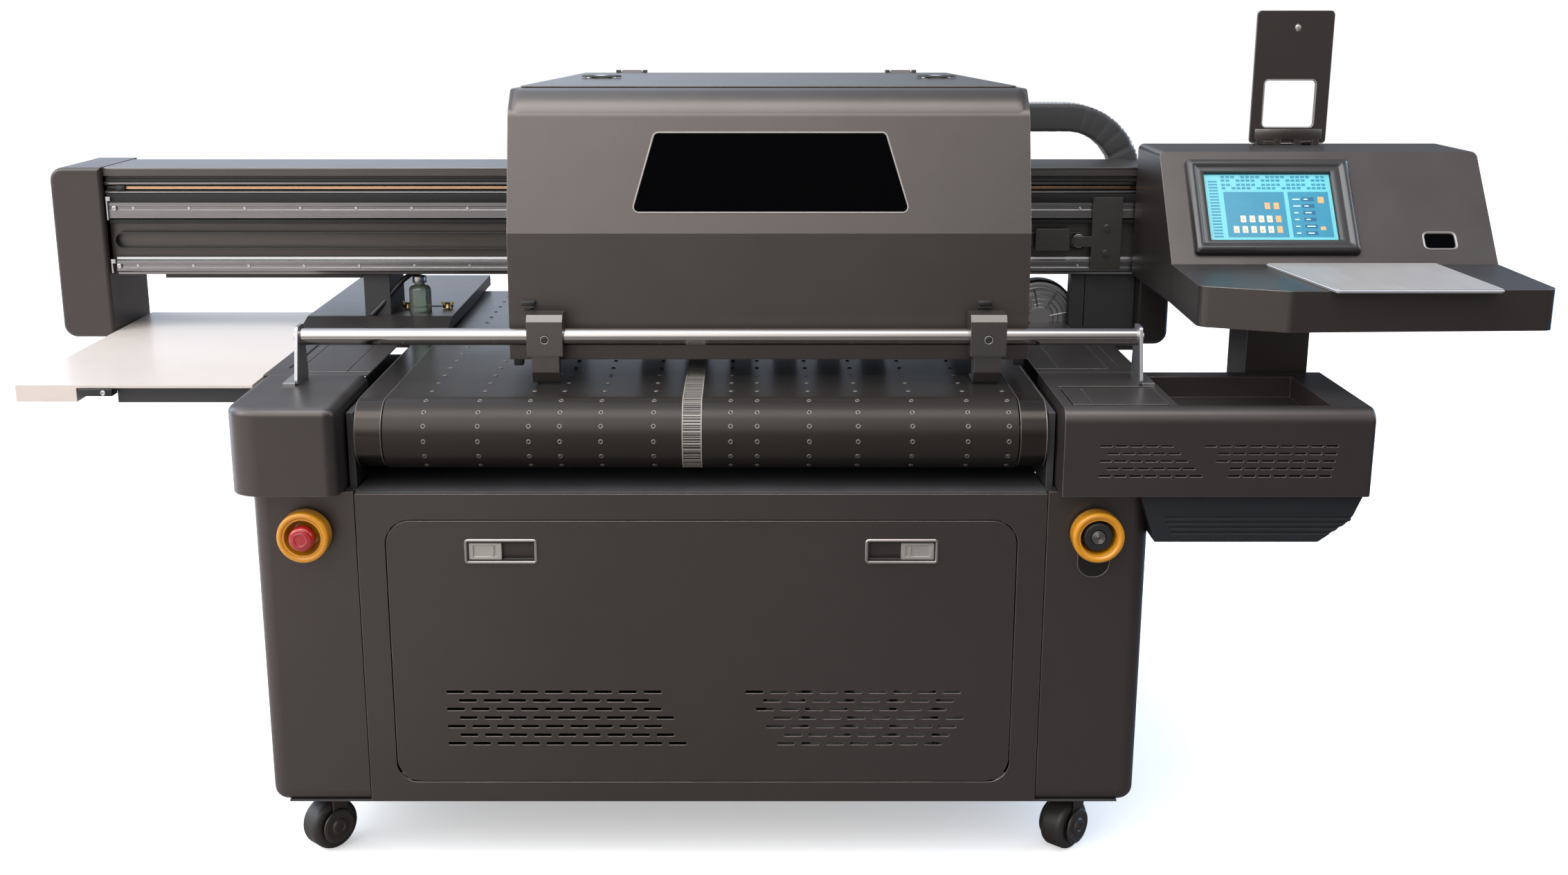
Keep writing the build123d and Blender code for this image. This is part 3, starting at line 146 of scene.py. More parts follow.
# %% The room: a ramp of light
ROOM = [(0.0, (0.30, 0.29, 0.285)), (0.18, (0.42, 0.41, 0.405)), (0.44, (1.50, 1.47, 1.45)),
        (0.72, (1.65, 1.66, 1.68)), (1.0, (1.05, 1.10, 1.18))]
COOL_BACK = (0.50, 0.56, 0.66, 1.0)
world = bpy.data.worlds.new("soft_studio")
bpy.context.scene.world = world
world.use_nodes = True
air = world.node_tree
direction = wired(air, "TexCoord", {}).outputs["Generated"]
axes = wired(air, "SeparateXYZ", {0: direction}).outputs
behind = wired(air, "MapRange", {"From Min": -0.1, "From Max": 0.6, "Value": axes["Y"]}).outputs["Result"]
room = blend_colour(air, behind, colour_ramp(air, axes["Z"], ROOM), COOL_BACK)
sides = {"From Min": -0.26, "From Max": 0.30, "To Min": 2.15, "To Max": 0.34, "Value": axes["X"]}
sideways = wired(air, "MapRange", sides, interpolation_type="SMOOTHSTEP").outputs["Result"]
seen = wired(air, "LightPath", {}).outputs["Is Camera Ray"]
shown = blend_colour(air, seen, scaled(air, room, sideways), WHITE)
air.links.new(shown, air.nodes["Background"].inputs["Color"])
print("world", world.name, len(air.nodes), "nodes")

# %% [markdown]
# Five large soft lamps draw the highlights: one from the ceiling, a window on each side, and two low
# ones behind that put a cool line on the edges.

# %% Lamps
def soft_lamp(name, place, target, size, power, colour):
    light = bpy.data.lights.new(name, "AREA")
    light.shape = "RECTANGLE"
    light.size = size[0]
    light.size_y = size[1]
    light.energy = power
    light.color = colour
    lamp = bpy.data.objects.new(name, light)
    lamp.location = place
    lamp.rotation_euler = (Vector(target) - Vector(place)).to_track_quat("-Z", "Y").to_euler()
    bpy.context.scene.collection.objects.link(lamp)
    return lamp


soft_lamp("ceiling_lamp", (0.0, -1.3, 3.4), (0.0, 0.0, 0.9), (3.4, 1.2), 40.0, (1.0, 0.99, 0.97))
soft_lamp("left_window", (-3.4, -1.2, 2.2), (0.0, 0.0, 0.8), (1.2, 2.2), 30.0, (0.80, 0.89, 1.0))
soft_lamp("right_window", (3.6, -0.6, 2.4), (0.2, 0.0, 0.9), (1.2, 2.2), 34.0, (0.78, 0.88, 1.0))
soft_lamp("right_edge_light", (3.0, 1.0, 1.3), (0.3, 0.0, 0.8), (0.5, 2.4), 62.0, (0.38, 0.60, 1.0))
soft_lamp("left_edge_light", (-3.2, 0.9, 1.3), (-0.3, 0.0, 0.8), (0.5, 2.4), 22.0, (0.62, 0.76, 1.0))

# %% [markdown]
# The floor looks white, yet a white floor would light the fronts of the sheet metal from below. So it
# is white only where the camera sees it, and for every other ray it is a tone that falls off to the right.

# %% The floor
FLOOR_SEEN = (0.90, 0.90, 0.90, 1.0)
FLOOR_TONES = [(0.0, (0.95, 0.86, 0.80)), (0.42, (0.30, 0.275, 0.26)), (1.0, (0.095, 0.095, 0.10))]
floor_mesh = bmesh.new()
bmesh.ops.create_grid(floor_mesh, x_segments=1, y_segments=1, size=14.0)
floor_data = bpy.data.meshes.new("studio_floor")
floor_mesh.to_mesh(floor_data)
floor_mesh.free()
studio_floor = bpy.data.objects.new("studio_floor", floor_data)
bpy.context.scene.collection.objects.link(studio_floor)
floor_paint = bpy.data.materials.new("floor_paint")
floor_paint.use_nodes = True
tree = floor_paint.node_tree
surface = tree.nodes["Principled BSDF"]
surface.inputs["Roughness"].default_value = 0.8
surface.inputs["Emission Color"].default_value = WHITE
axes = wired(tree, "SeparateXYZ", {0: wired(tree, "TexCoord", {}).outputs["Object"]}).outputs
across = wired(tree, "MapRange", {"From Min": -2.6, "From Max": 2.2, "Value": axes["X"]}).outputs["Result"]
seen = wired(tree, "LightPath", {}).outputs["Is Camera Ray"]
tone = blend_colour(tree, seen, colour_ramp(tree, across, FLOOR_TONES), FLOOR_SEEN)
tree.links.new(tone, surface.inputs["Base Color"])
tree.links.new(calc(tree, "MULTIPLY", seen, 0.42), surface.inputs["Emission Strength"])
floor_data.materials.append(floor_paint)
print("floor", tuple(studio_floor.dimensions[:2]))

# %% [markdown]
# ## Effects that many finishes share
# Each effect is a node group with named sockets, built once. Object coordinates drive them all, so a
# pattern keeps its size on every piece and travels with a piece that moves. A group only puts out
# colours, heights, masks and normals. The shader itself stays in each material.

# %% A helper for node groups
GREY = (0.1, 0.1, 0.1, 1.0)


def effect(name, takes, gives):
    """A node group: `takes` has each input's first value, `gives` the kind of each output."""
    group = bpy.data.node_groups.new(name, "ShaderNodeTree")
    for label, value in takes.items():
        kind = "Float" if isinstance(value, float) else {3: "Vector", 4: "Color"}[len(value)]
        socket = group.interface.new_socket(label, in_out="INPUT", socket_type="NodeSocket" + kind)
        socket.default_value = value
    for label, kind in gives.items():
        group.interface.new_socket(label, in_out="OUTPUT", socket_type="NodeSocket" + kind)
    place = wired(group, "TexCoord", {}).outputs["Object"]
    return group, group.nodes.new("NodeGroupInput").outputs, place


def put_out(group, results):
    out = group.nodes.new("NodeGroupOutput")
    for label, socket in results.items():
        group.links.new(socket, out.inputs[label])
    print("effect", group.name, len(group.nodes), "nodes")


def noise(tree, vector, scale, detail, rough):
    inputs = {"Vector": vector, "Scale": scale, "Detail": detail, "Roughness": rough}
    return wired(tree, "TexNoise", inputs).outputs["Fac"]


# %% [markdown]
# ### Rubbed and highlit edges
# Hands and boxes polish the edges of a machine first. The Bevel node looks a few millimetres round a
# point and gives a rounded normal. Where that differs from the flat normal there is an edge, and the
# same rounded normal lets every sharp fold catch a thin line of light, as a real fold does. The lighter
# colour laid along that edge is partly paint rubbed thin and partly a painted highlight line.

# %% Edge effect
PATCH_STRENGTH = 7.0
worn_lit_edge, given, place = effect(
    "worn_lit_edge", {"Paint": GREY, "Bare": (0.4, 0.4, 0.4, 1.0), "Width": 0.002, "Amount": 0.5},
    {"Color": "Color", "Mask": "Float", "Normal": "Vector"})
rounding = wired(worn_lit_edge, "Bevel", {"Radius": given["Width"]}, samples=4).outputs[0]
flat = wired(worn_lit_edge, "NewGeometry", {}).outputs["True Normal"]
facing = wired(worn_lit_edge, "VectorMath", {0: rounding, 1: flat}, operation="DOT_PRODUCT").outputs["Value"]
turned = calc(worn_lit_edge, "SUBTRACT", 1.0, facing)
patches = noise(worn_lit_edge, place, 16.0, 4.0, 0.65)
strong = calc(worn_lit_edge, "MULTIPLY", turned, calc(worn_lit_edge, "MULTIPLY", patches, PATCH_STRENGTH))
worn_and_lit = calc(worn_lit_edge, "MULTIPLY", strong, given["Amount"])
mask = calc(worn_lit_edge, "MINIMUM", calc(worn_lit_edge, "MAXIMUM", worn_and_lit, 0.0), 1.0)
# Painted on the edges: a lighter colour that is partly paint rubbed thin and partly a painted highlight line.
colour = blend_colour(worn_lit_edge, mask, given["Paint"], given["Bare"])
put_out(worn_lit_edge, {"Color": colour, "Mask": mask, "Normal": rounding})

# %% [markdown]
# ### Fine grain
# Powder coat, rubber and moulded plastic are never quite smooth. Two noises do it: a fine one for the
# height of the grain, and a broad slow one that changes the gloss and the tone a little from place to
# place, like the drift of a spray gun or the touch of hands.

# %% Grain effect
fine_grain, given, place = effect(
    "fine_grain", {"Base": GREY, "Grain Size": 900.0, "Roughness": 0.4, "Spread": 0.1, "Tone": 0.15},
    {"Color": "Color", "Roughness": "Float", "Height": "Float"})
grit = noise(fine_grain, place, given["Grain Size"], 3.0, 0.6)
drift = noise(fine_grain, place, 2.6, 3.0, 0.55)
smear = noise(fine_grain, place, 23.0, 4.0, 0.6)
uneven = calc(fine_grain, "ADD", calc(fine_grain, "MULTIPLY", drift, 0.6),
              calc(fine_grain, "MULTIPLY", smear, 0.4))
centred = calc(fine_grain, "SUBTRACT", uneven, 0.5)
gloss = calc(fine_grain, "MULTIPLY_ADD", centred, given["Spread"], given["Roughness"])
lift = calc(fine_grain, "ADD", calc(fine_grain, "MULTIPLY", centred, given["Tone"]), 1.0)
speck = calc(fine_grain, "MULTIPLY_ADD", calc(fine_grain, "SUBTRACT", grit, 0.5), 0.25, lift)
put_out(fine_grain, {"Color": scaled(fine_grain, given["Base"], speck), "Roughness": gloss, "Height": grit})

# %% [markdown]
# ### Settled dust
# A workshop leaves a pale film on whatever faces up. The film follows the upward part of the normal
# and breaks up with a cloudy noise, so it stays faint and patchy.

# %% Dust effect
settled_dust, given, place = effect(
    "settled_dust", {"Base": GREY, "Dust": (0.45, 0.46, 0.48, 1.0), "Amount": 0.06},
    {"Color": "Color", "Mask": "Float"})
shape = wired(settled_dust, "NewGeometry", {}).outputs["True Normal"]
upward = calc(settled_dust, "MAXIMUM", wired(settled_dust, "SeparateXYZ", {0: shape}).outputs["Z"], 0.0)
cloud = noise(settled_dust, place, 7.0, 5.0, 0.6)
film = calc(settled_dust, "MULTIPLY", calc(settled_dust, "MULTIPLY", upward, cloud), given["Amount"])
film = calc(settled_dust, "MULTIPLY", film, 2.0)
put_out(settled_dust, {"Color": blend_colour(settled_dust, film, given["Base"], given["Dust"]), "Mask": film})

# %% [markdown]
# ### Brushed streaks
# Rolled and ground metal has long fine lines in one direction. Squeezing the coordinates along that
# direction before the noise pulls its spots out into streaks.

# %% Streak effect
ALONG_X = (4.0, 700.0, 700.0)
brushed_streaks, given, place = effect(
    "brushed_streaks", {"Base": (0.5, 0.5, 0.5, 1.0), "Squeeze": ALONG_X, "Roughness": 0.3, "Spread": 0.2},
    {"Color": "Color", "Roughness": "Float", "Height": "Float"})
squeezed = {0: place, 1: given["Squeeze"]}
stretch = wired(brushed_streaks, "VectorMath", squeezed, operation="MULTIPLY").outputs[0]
lines = noise(brushed_streaks, stretch, 1.0, 3.0, 0.6)
blotch = noise(brushed_streaks, place, 9.0, 3.0, 0.6)
mixed = calc(brushed_streaks, "ADD", calc(brushed_streaks, "MULTIPLY", lines, 0.7),
             calc(brushed_streaks, "MULTIPLY", blotch, 0.3))
centred = calc(brushed_streaks, "SUBTRACT", mixed, 0.5)
gloss = calc(brushed_streaks, "MULTIPLY_ADD", centred, given["Spread"], given["Roughness"])
colour = scaled(brushed_streaks, given["Base"], calc(brushed_streaks, "MULTIPLY_ADD", centred, 0.5, 1.0))
put_out(brushed_streaks, {"Color": colour, "Roughness": gloss, "Height": lines})

# %% [markdown]
# ## Finishes
# Every finish of this machine is one of two kinds: something with grain (paint, rubber, plastic,
# fabric) or something with streaks (rolled, ground or drawn metal). One function makes each kind, so
# a new finish is one line of numbers, and the list below reads like a finishing schedule.

# %% Two kinds of finish
FINISHES = {}


def place_effect(tree, group, **values):
    node = tree.nodes.new("ShaderNodeGroup")
    node.node_tree = group
    for label, value in values.items():
        node.inputs[label.replace("_", " ")].default_value = value
    return node


def opaque(colour):
    return (colour[0], colour[1], colour[2], 1.0)


def finish_base(name, metallic=0.0, coat=0.0, sheen=0.0):
    material = bpy.data.materials.new(name)
    material.use_nodes = True
    tree = material.node_tree
    surface = tree.nodes["Principled BSDF"]
    surface.inputs["Metallic"].default_value = metallic
    surface.inputs["Coat Weight"].default_value = coat
    surface.inputs["Coat Roughness"].default_value = 0.12
    surface.inputs["Sheen Weight"].default_value = sheen
    FINISHES[name] = material
    return tree, surface


def finish_end(tree, surface, pattern, depth, edge=None):
    """Feeds the shader: colour and normal from the edge effect (paint rubbed thin, partly a painted
    highlight), if there is one, the rest from the pattern.
    """
    inputs = {"Strength": 1.0, "Distance": depth, "Height": pattern.outputs["Height"]}
    if edge is not None:
        inputs["Normal"] = edge.outputs["Normal"]
    bump = wired(tree, "Bump", inputs)
    tree.links.new((edge or pattern).outputs["Color"], surface.inputs["Base Color"])
    tree.links.new(pattern.outputs["Roughness"], surface.inputs["Roughness"])
    tree.links.new(bump.outputs["Normal"], surface.inputs["Normal"])


def grained(name, colour, rough, grain=900.0, depth=0.00004, bare_and_lit=(0.35, 0.34, 0.33), wear_and_highlight=0.25, width=0.0022,
            dust=0.05, metallic=0.0, coat=0.0, sheen=0.0, spread=0.12, tone=0.2):
    tree, surface = finish_base(name, metallic, coat, sheen)
    grain_node = place_effect(tree, fine_grain, Base=opaque(colour), Grain_Size=grain, Roughness=rough,
                              Spread=spread, Tone=tone)
    dust_node = place_effect(tree, settled_dust, Amount=dust)
    edge_node = place_effect(tree, worn_lit_edge, Bare=opaque(bare_and_lit), Width=width, Amount=wear_and_highlight)
    tree.links.new(grain_node.outputs["Color"], dust_node.inputs["Base"])
    tree.links.new(dust_node.outputs["Color"], edge_node.inputs["Paint"])
    finish_end(tree, surface, grain_node, depth, edge_node)


def streaked(name, colour, rough, squeeze=ALONG_X, depth=0.00002, bare_and_lit=(0.7, 0.7, 0.7), wear_and_highlight=0.3,
             width=0.0012, metallic=1.0, spread=0.2):
    tree, surface = finish_base(name, metallic)
    line_node = place_effect(tree, brushed_streaks, Base=opaque(colour), Squeeze=squeeze, Roughness=rough,
                             Spread=spread)
    edge_node = place_effect(tree, worn_lit_edge, Bare=opaque(bare_and_lit), Width=width, Amount=wear_and_highlight)
    tree.links.new(line_node.outputs["Color"], edge_node.inputs["Paint"])
    finish_end(tree, surface, line_node, depth, edge_node)


print("effects in use:", fine_grain.name, settled_dust.name, worn_lit_edge.name, brushed_streaks.name)

# %% Grained finishes
# Each finish's lighter edge colour and its amount paint a thin light line on every edge: partly paint rubbed
# thin, partly a painted highlight.
grained("charcoal_powder_coat", (0.069, 0.059, 0.055), 0.37, 850.0, 0.00004, bare_and_lit=(0.36, 0.33, 0.305),
        wear_and_highlight=0.6, metallic=0.75)
grained("hood_powder_coat", (0.088, 0.0755, 0.070), 0.34, 850.0, 0.00004, bare_and_lit=(0.40, 0.37, 0.345),
        wear_and_highlight=0.6, metallic=0.75)
grained("frame_paint", (0.030, 0.030, 0.032), 0.5, 700.0, 0.00006)
grained("belt_rubber_grain", (0.036, 0.031, 0.028), 0.30, 620.0, 0.00010, bare_and_lit=(0.08, 0.07, 0.065),
        wear_and_highlight=0.1, dust=0.01, spread=0.14, metallic=0.6)
grained("skirt_paint", (0.030, 0.032, 0.036), 0.42, 850.0, 0.00004, bare_and_lit=(0.12, 0.12, 0.13), wear_and_highlight=0.3,
        metallic=0.6)
grained("timing_rubber_black", (0.012, 0.012, 0.012), 0.6, 900.0, 0.00008, wear_and_highlight=0.1, dust=0.02)
grained("black_moulding", (0.010, 0.010, 0.0105), 0.42, 1200.0, 0.00003, bare_and_lit=(0.06, 0.06, 0.06), wear_and_highlight=0.2,
        dust=0.03)
grained("guard_yellow", (0.60, 0.245, 0.006), 0.27, 1500.0, 0.000005, bare_and_lit=(0.85, 0.46, 0.06), wear_and_highlight=0.12,
        coat=0.5, dust=0.0, tone=0.1, spread=0.05)
grained("mushroom_red", (0.34, 0.005, 0.010), 0.20, 1500.0, 0.000005, bare_and_lit=(0.6, 0.05, 0.05), wear_and_highlight=0.1,
        coat=0.6, dust=0.0, tone=0.1, spread=0.05)
grained("table_laminate", (0.60, 0.535, 0.49), 0.36, 1300.0, 0.00002, bare_and_lit=(0.92, 0.92, 0.9), wear_and_highlight=0.15,
        dust=0.0, coat=0.15)
grained("ink_bottle_plastic", (0.55, 0.55, 0.56), 0.38, 900.0, 0.00004, bare_and_lit=(0.7, 0.7, 0.7), dust=0.04)
grained("sleeve_fabric", (0.016, 0.016, 0.017), 0.72, 1600.0, 0.00012, bare_and_lit=(0.08, 0.08, 0.08), wear_and_highlight=0.3,
        sheen=0.35, dust=0.04)
grained("tyre_rubber", (0.016, 0.0135, 0.012), 0.46, 800.0, 0.0001, bare_and_lit=(0.08, 0.07, 0.06), wear_and_highlight=0.3,
        dust=0.03)
grained("caster_paint", (0.034, 0.029, 0.026), 0.38, 700.0, 0.00005, bare_and_lit=(0.22, 0.2, 0.18), wear_and_highlight=0.5,
        dust=0.03, metallic=0.4)
grained("screen_bezel", (0.012, 0.011, 0.0115), 0.28, 1400.0, 0.00001, bare_and_lit=(0.1, 0.1, 0.1), wear_and_highlight=0.2,
        coat=0.2, width=0.0006)
grained("window_black", (0.0015, 0.0015, 0.0018), 0.16, 1500.0, 0.000005, bare_and_lit=(0.02, 0.02, 0.02),
        wear_and_highlight=0.05, dust=0.0, spread=0.05, tone=0.1)
grained("cream_scale", (0.30, 0.27, 0.235), 0.5, 900.0, 0.00004, bare_and_lit=(0.5, 0.48, 0.42), wear_and_highlight=0.2, dust=0.02)
grained("eyelet_rim", (0.16, 0.14, 0.122), 0.28, 1500.0, 0.00001, bare_and_lit=(0.4, 0.37, 0.33), wear_and_highlight=0.3,
        metallic=0.5)
grained("pocket_shadow", (0.020, 0.0175, 0.016), 0.42, 850.0, 0.00003, wear_and_highlight=0.1, dust=0.0, metallic=0.6)
# Near-black for painted shade: the dark inside of holes, grooves, gaps and recesses.
grained("shade_black", (0.003, 0.003, 0.003), 0.7, 900.0, 0.00001, wear_and_highlight=0.0, dust=0.0)
grained("stitch_grey", (0.26, 0.25, 0.235), 0.6, 1500.0, 0.00004, wear_and_highlight=0.1, dust=0.0)
grained("trim_light", (0.27, 0.25, 0.235), 0.34, 1200.0, 0.00002, bare_and_lit=(0.5, 0.48, 0.46), wear_and_highlight=0.3,
        metallic=0.5)
# Pale bluish: a painted highlight for the bead on the pad's edges.
grained("pad_edge_highlight", (0.46, 0.50, 0.56), 0.32, 1200.0, 0.00002, bare_and_lit=(0.8, 0.85, 0.92), wear_and_highlight=0.2,
        coat=0.2)
print("grained finishes", len(FINISHES))

# %% Streaked finishes
streaked("polished_guard_strip", (0.040, 0.034, 0.030), 0.22, metallic=0.85, spread=0.10,
         bare_and_lit=(0.3, 0.27, 0.25))
streaked("zinc_steel", (0.50, 0.50, 0.51), 0.34)
streaked("beam_anodised", (0.100, 0.092, 0.086), 0.36, depth=0.000005, metallic=0.75, bare_and_lit=(0.4, 0.4, 0.4))
streaked("rail_bright", (0.25, 0.245, 0.245), 0.28, depth=0.000005, spread=0.12)
streaked("chrome_tube", (0.37, 0.35, 0.335), 0.13, depth=0.000004, spread=0.06, wear_and_highlight=0.1)
streaked("stop_satin", (0.115, 0.108, 0.102), 0.32, metallic=0.85, squeeze=(500.0, 500.0, 5.0),
         bare_and_lit=(0.6, 0.58, 0.56))
streaked("pad_silver_sheet", (0.50, 0.47, 0.445), 0.42, metallic=0.6, squeeze=(500.0, 5.0, 500.0))
streaked("latch_silver", (0.46, 0.44, 0.40), 0.34, metallic=0.7, squeeze=(5.0, 500.0, 500.0))
streaked("latch_frame_metal", (0.33, 0.30, 0.285), 0.24, metallic=0.95, squeeze=(5.0, 500.0, 500.0),
         depth=0.000005)
streaked("bracket_dark_steel", (0.100, 0.094, 0.088), 0.34, metallic=0.8, bare_and_lit=(0.3, 0.29, 0.28))
streaked("head_block_steel", (0.28, 0.28, 0.29), 0.36, squeeze=(500.0, 500.0, 5.0))
streaked("copper_strip", (0.58, 0.36, 0.22), 0.26)
streaked("brass_turned", (0.62, 0.44, 0.17), 0.28, squeeze=(600.0, 600.0, 600.0))
print("finishes", len(FINISHES))

# %% [markdown]
# The waste bottle is the only clear piece. Glass needs Transmission and a steady index of refraction,
# set as plain numbers on the shader, and only its colour and roughness vary.

# %% Bottle glass
tree, surface = finish_base("bottle_green_glass")
surface.inputs["Transmission Weight"].default_value = 0.85
surface.inputs["IOR"].default_value = 1.46
stain = place_effect(tree, fine_grain, Base=(0.42, 0.50, 0.40, 1.0), Grain_Size=60.0, Roughness=0.08,
                     Spread=0.1, Tone=0.6)
finish_end(tree, surface, stain, 0.00002)
print("glass ior", surface.inputs["IOR"].default_value)

# %% [markdown]
# The screen makes its own light. Emission is a plain number on the shader, and only the colour drifts,
# like a backlight that is a little uneven.

# %% Screen light
def lit(name, colour, strength, patch):
    tree, surface = finish_base(name)
    surface.inputs["Emission Strength"].default_value = strength
    grain_node = place_effect(tree, fine_grain, Base=opaque(colour), Grain_Size=patch, Roughness=0.25,
                              Spread=0.1, Tone=0.5)
    tree.links.new(grain_node.outputs["Color"], surface.inputs["Emission Color"])
    finish_end(tree, surface, grain_node, 0.000005)


lit("screen_orange", (0.50, 0.27, 0.12), 0.5, 150.0)
lit("screen_deep", (0.015, 0.09, 0.17), 0.4, 150.0)
lit("screen_cyan", (0.105, 0.37, 0.42), 0.50, 300.0)
lit("screen_blue", (0.025, 0.17, 0.26), 0.42, 260.0)
lit("screen_cream", (0.60, 0.55, 0.42), 0.42, 180.0)
lit("screen_pale", (0.40, 0.62, 0.70), 0.42, 220.0)
for name, level in (("window_black", 0.0), ("belt_rubber_grain", 0.15), ("polished_guard_strip", 0.3)):
    FINISHES[name].node_tree.nodes["Principled BSDF"].inputs["Specular IOR Level"].default_value = level
print("finishes", len(FINISHES))

# %% [markdown]
# Each node of the frame now gets its finish. Assigning to the material slots keeps the frame's meshes
# exactly as they were packed.

# %% Dress the frame
NODE_FINISH = {
    "charcoal_powder_coat": ["front_panel", "front_door", "side_covers", "rear_panel", "left_nose_cap",
                             "deck_covers", "side_plinth", "arm_housing", "ink_lid", "beam_end_caps",
                             "console_housing", "console_post", "folding_plate"],
    "skirt_paint": ["arm_skirt"],
    "hood_powder_coat": ["hood_shell", "hood_lid"],
    "frame_paint": ["cabinet_frame", "base_pan", "control_box", "vacuum_box", "beam_supports", "table_rail"],
    "black_moulding": ["belt_motor", "key_knob"],
    "belt_rubber_grain": ["vacuum_belt"],
    "timing_rubber_black": ["carriage_drive_belt"],
    "guard_yellow": ["button_collars"],
    "mushroom_red": ["stop_button"],
    "table_laminate": ["side_table"],
    "ink_bottle_plastic": ["ink_tanks"],
    "sleeve_fabric": ["cable_chain"],
    "tyre_rubber": ["front_left_wheel", "front_right_wheel", "rear_left_wheel", "rear_right_wheel"],
    "caster_paint": ["front_left_fork", "front_right_fork", "rear_left_fork", "rear_right_fork"],
    "screen_bezel": ["touch_screen"],
    "window_black": ["hood_window"],
    "polished_guard_strip": ["side_guards"],
    "zinc_steel": ["front_roller", "rear_roller", "vacuum_blower", "drive_pulley", "rail_brackets"],
    "bracket_dark_steel": ["carriage_motor"],
    "beam_anodised": ["beam"],
    "rail_bright": ["guide_rails"],
    "chrome_tube": ["front_rail"],
    "stop_satin": ["left_stop", "right_stop"],
    "pad_silver_sheet": ["desk_pad"],
    "latch_silver": ["left_latch", "right_latch"],
    "head_block_steel": ["print_heads", "uv_lamps", "carriage_plate"],
    "bottle_green_glass": ["waste_bottle"],
}
for finish_name, nodes in NODE_FINISH.items():
    for node_name in nodes:
        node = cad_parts[node_name]
        for slot_number in range(len(node.data.materials)):
            node.data.materials[slot_number] = FINISHES[finish_name]
undressed = sorted(set(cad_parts) - {n for nodes in NODE_FINISH.values() for n in nodes})
print("nodes without a finish:", undressed)

# %% [markdown]
# ## Pieces that the sheet-metal frame leaves out
# All of them are made in mesh code from a few shapes of their own: an outline pushed into a solid with
# rounded edges, a profile turned on an axis, a tube that follows a line, and a frame of nested loops.
# Every piece then rides on the body it is screwed to, so it moves with the machine.

# %% Making a piece
def piece(name, build, finish, body, crease=32.0):
    bmesh.ops.recalc_face_normals(build, faces=build.faces)
    mesh = bpy.data.meshes.new(name)
    build.to_mesh(mesh)
    build.free()
    for polygon in mesh.polygons:
        polygon.use_smooth = True
    mesh.set_sharp_from_angle(angle=math.radians(crease))
    mesh.materials.append(FINISHES[finish])
    made = bpy.data.objects.new(name, mesh)
    bpy.context.scene.collection.objects.link(made)
    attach(made, body)
    print("piece", name, len(mesh.polygons), "faces")
    return made


def bridge(build, first, second):
    """A band of faces between two closed loops."""
    for n in range(len(first)):
        m = (n + 1) % len(first)
        build.faces.new((first[n], first[m], second[m], second[n]))


def loft(build, loops, cap_start=True, cap_end=True):
    """Closed loops of points, joined one after another into a skin."""
    rings = [[build.verts.new(point) for point in loop] for loop in loops]
    for first, second in zip(rings, rings[1:]):
        bridge(build, first, second)
    if cap_start:
        build.faces.new(list(reversed(rings[0])))
    if cap_end:
        build.faces.new(rings[-1])
    return rings


print("skins and bands ready")


# %% Shapes that pieces are made of
def pushed(build, outline, push, soft=0.0):
    """An outline pushed along a vector, with its edges rounded by `soft` metres."""
    rings = loft(build, [outline, [point + push for point in outline]])
    if soft:
        corners = [vert for ring in rings for vert in ring]
        edges = {edge for vert in corners for edge in vert.link_edges}
        bmesh.ops.bevel(build, geom=list(edges), offset=soft, segments=2, affect="EDGES", profile=0.6)


def plate(build, low, high, soft=0.0006):
    """A small rounded bar between two corners, in machine millimetres."""
    a, b = at(*low), at(*high)
    outline = [Vector((x, a.y, z)) for x, z in ((a.x, a.z), (b.x, a.z), (b.x, b.z), (a.x, b.z))]
    pushed(build, outline, Vector((0.0, b.y - a.y, 0.0)), soft)


def turned_on(build, centre, axis, profile, steps=28):
    """A profile of (radius, place along the axis) in millimetres, turned about an axis."""
    axis = Vector(axis).normalized()
    across = axis.orthogonal().normalized()
    third = axis.cross(across)
    rings = []
    for radius, along in profile:
        middle = centre + axis * along * MM
        if radius == 0.0:
            rings.append([build.verts.new(middle)])
            continue
        ring = []
        for n in range(steps):
            angle = 2 * math.pi * n / steps
            spoke = across * math.cos(angle) + third * math.sin(angle)
            ring.append(build.verts.new(middle + spoke * radius * MM))
        rings.append(ring)
    for first, second in zip(rings, rings[1:]):
        if 1 in (len(first), len(second)):
            tip, ring = (first[0], second) if len(first) == 1 else (second[0], first)
            for n in range(steps):
                build.faces.new((ring[n], ring[(n + 1) % steps], tip))
        else:
            bridge(build, first, second)


def bars(name, finish, body, rows):
    """One piece made of several small bars: (low corner, high corner, softness)."""
    build = bmesh.new()
    for low, high, soft in rows:
        plate(build, low, high, soft)
    return piece(name, build, finish, body)


def spun(name, finish, body, centres, axis, profile, steps):
    """One piece made of the same turned profile at one or more centres."""
    build = bmesh.new()
    for centre in centres:
        turned_on(build, centre, axis, profile, steps)
    return piece(name, build, finish, body)


def tube_along(build, points, radius, sides=12):
    """A round tube that follows a line of points."""
    rings = []
    normal = None
    for n, point in enumerate(points):
        ahead = points[min(n + 1, len(points) - 1)] - points[max(n - 1, 0)]
        ahead.normalize()
        normal = ahead.orthogonal() if normal is None else normal - ahead * normal.dot(ahead)
        normal.normalize()
        side = ahead.cross(normal)
        angles = [2 * math.pi * k / sides for k in range(sides)]
        rings.append([point + (normal * math.cos(a) + side * math.sin(a)) * radius for a in angles])
    loft(build, rings)


def rounded_loop(width, height, radius, steps=5):
    """A rounded rectangle about (0, 0) as flat (a, b) pairs."""
    radius = max(0.05, min(radius, width / 2, height / 2))
    corners = ((1, 1, 0), (-1, 1, 90), (-1, -1, 180), (1, -1, 270))
    flat_points = []
    for right, up, start in corners:
        for n in range(steps + 1):
            angle = math.radians(start + 90 * n / steps)
            flat_points.append((right * (width / 2 - radius) + radius * math.cos(angle),
                                up * (height / 2 - radius) + radius * math.sin(angle)))
    return flat_points


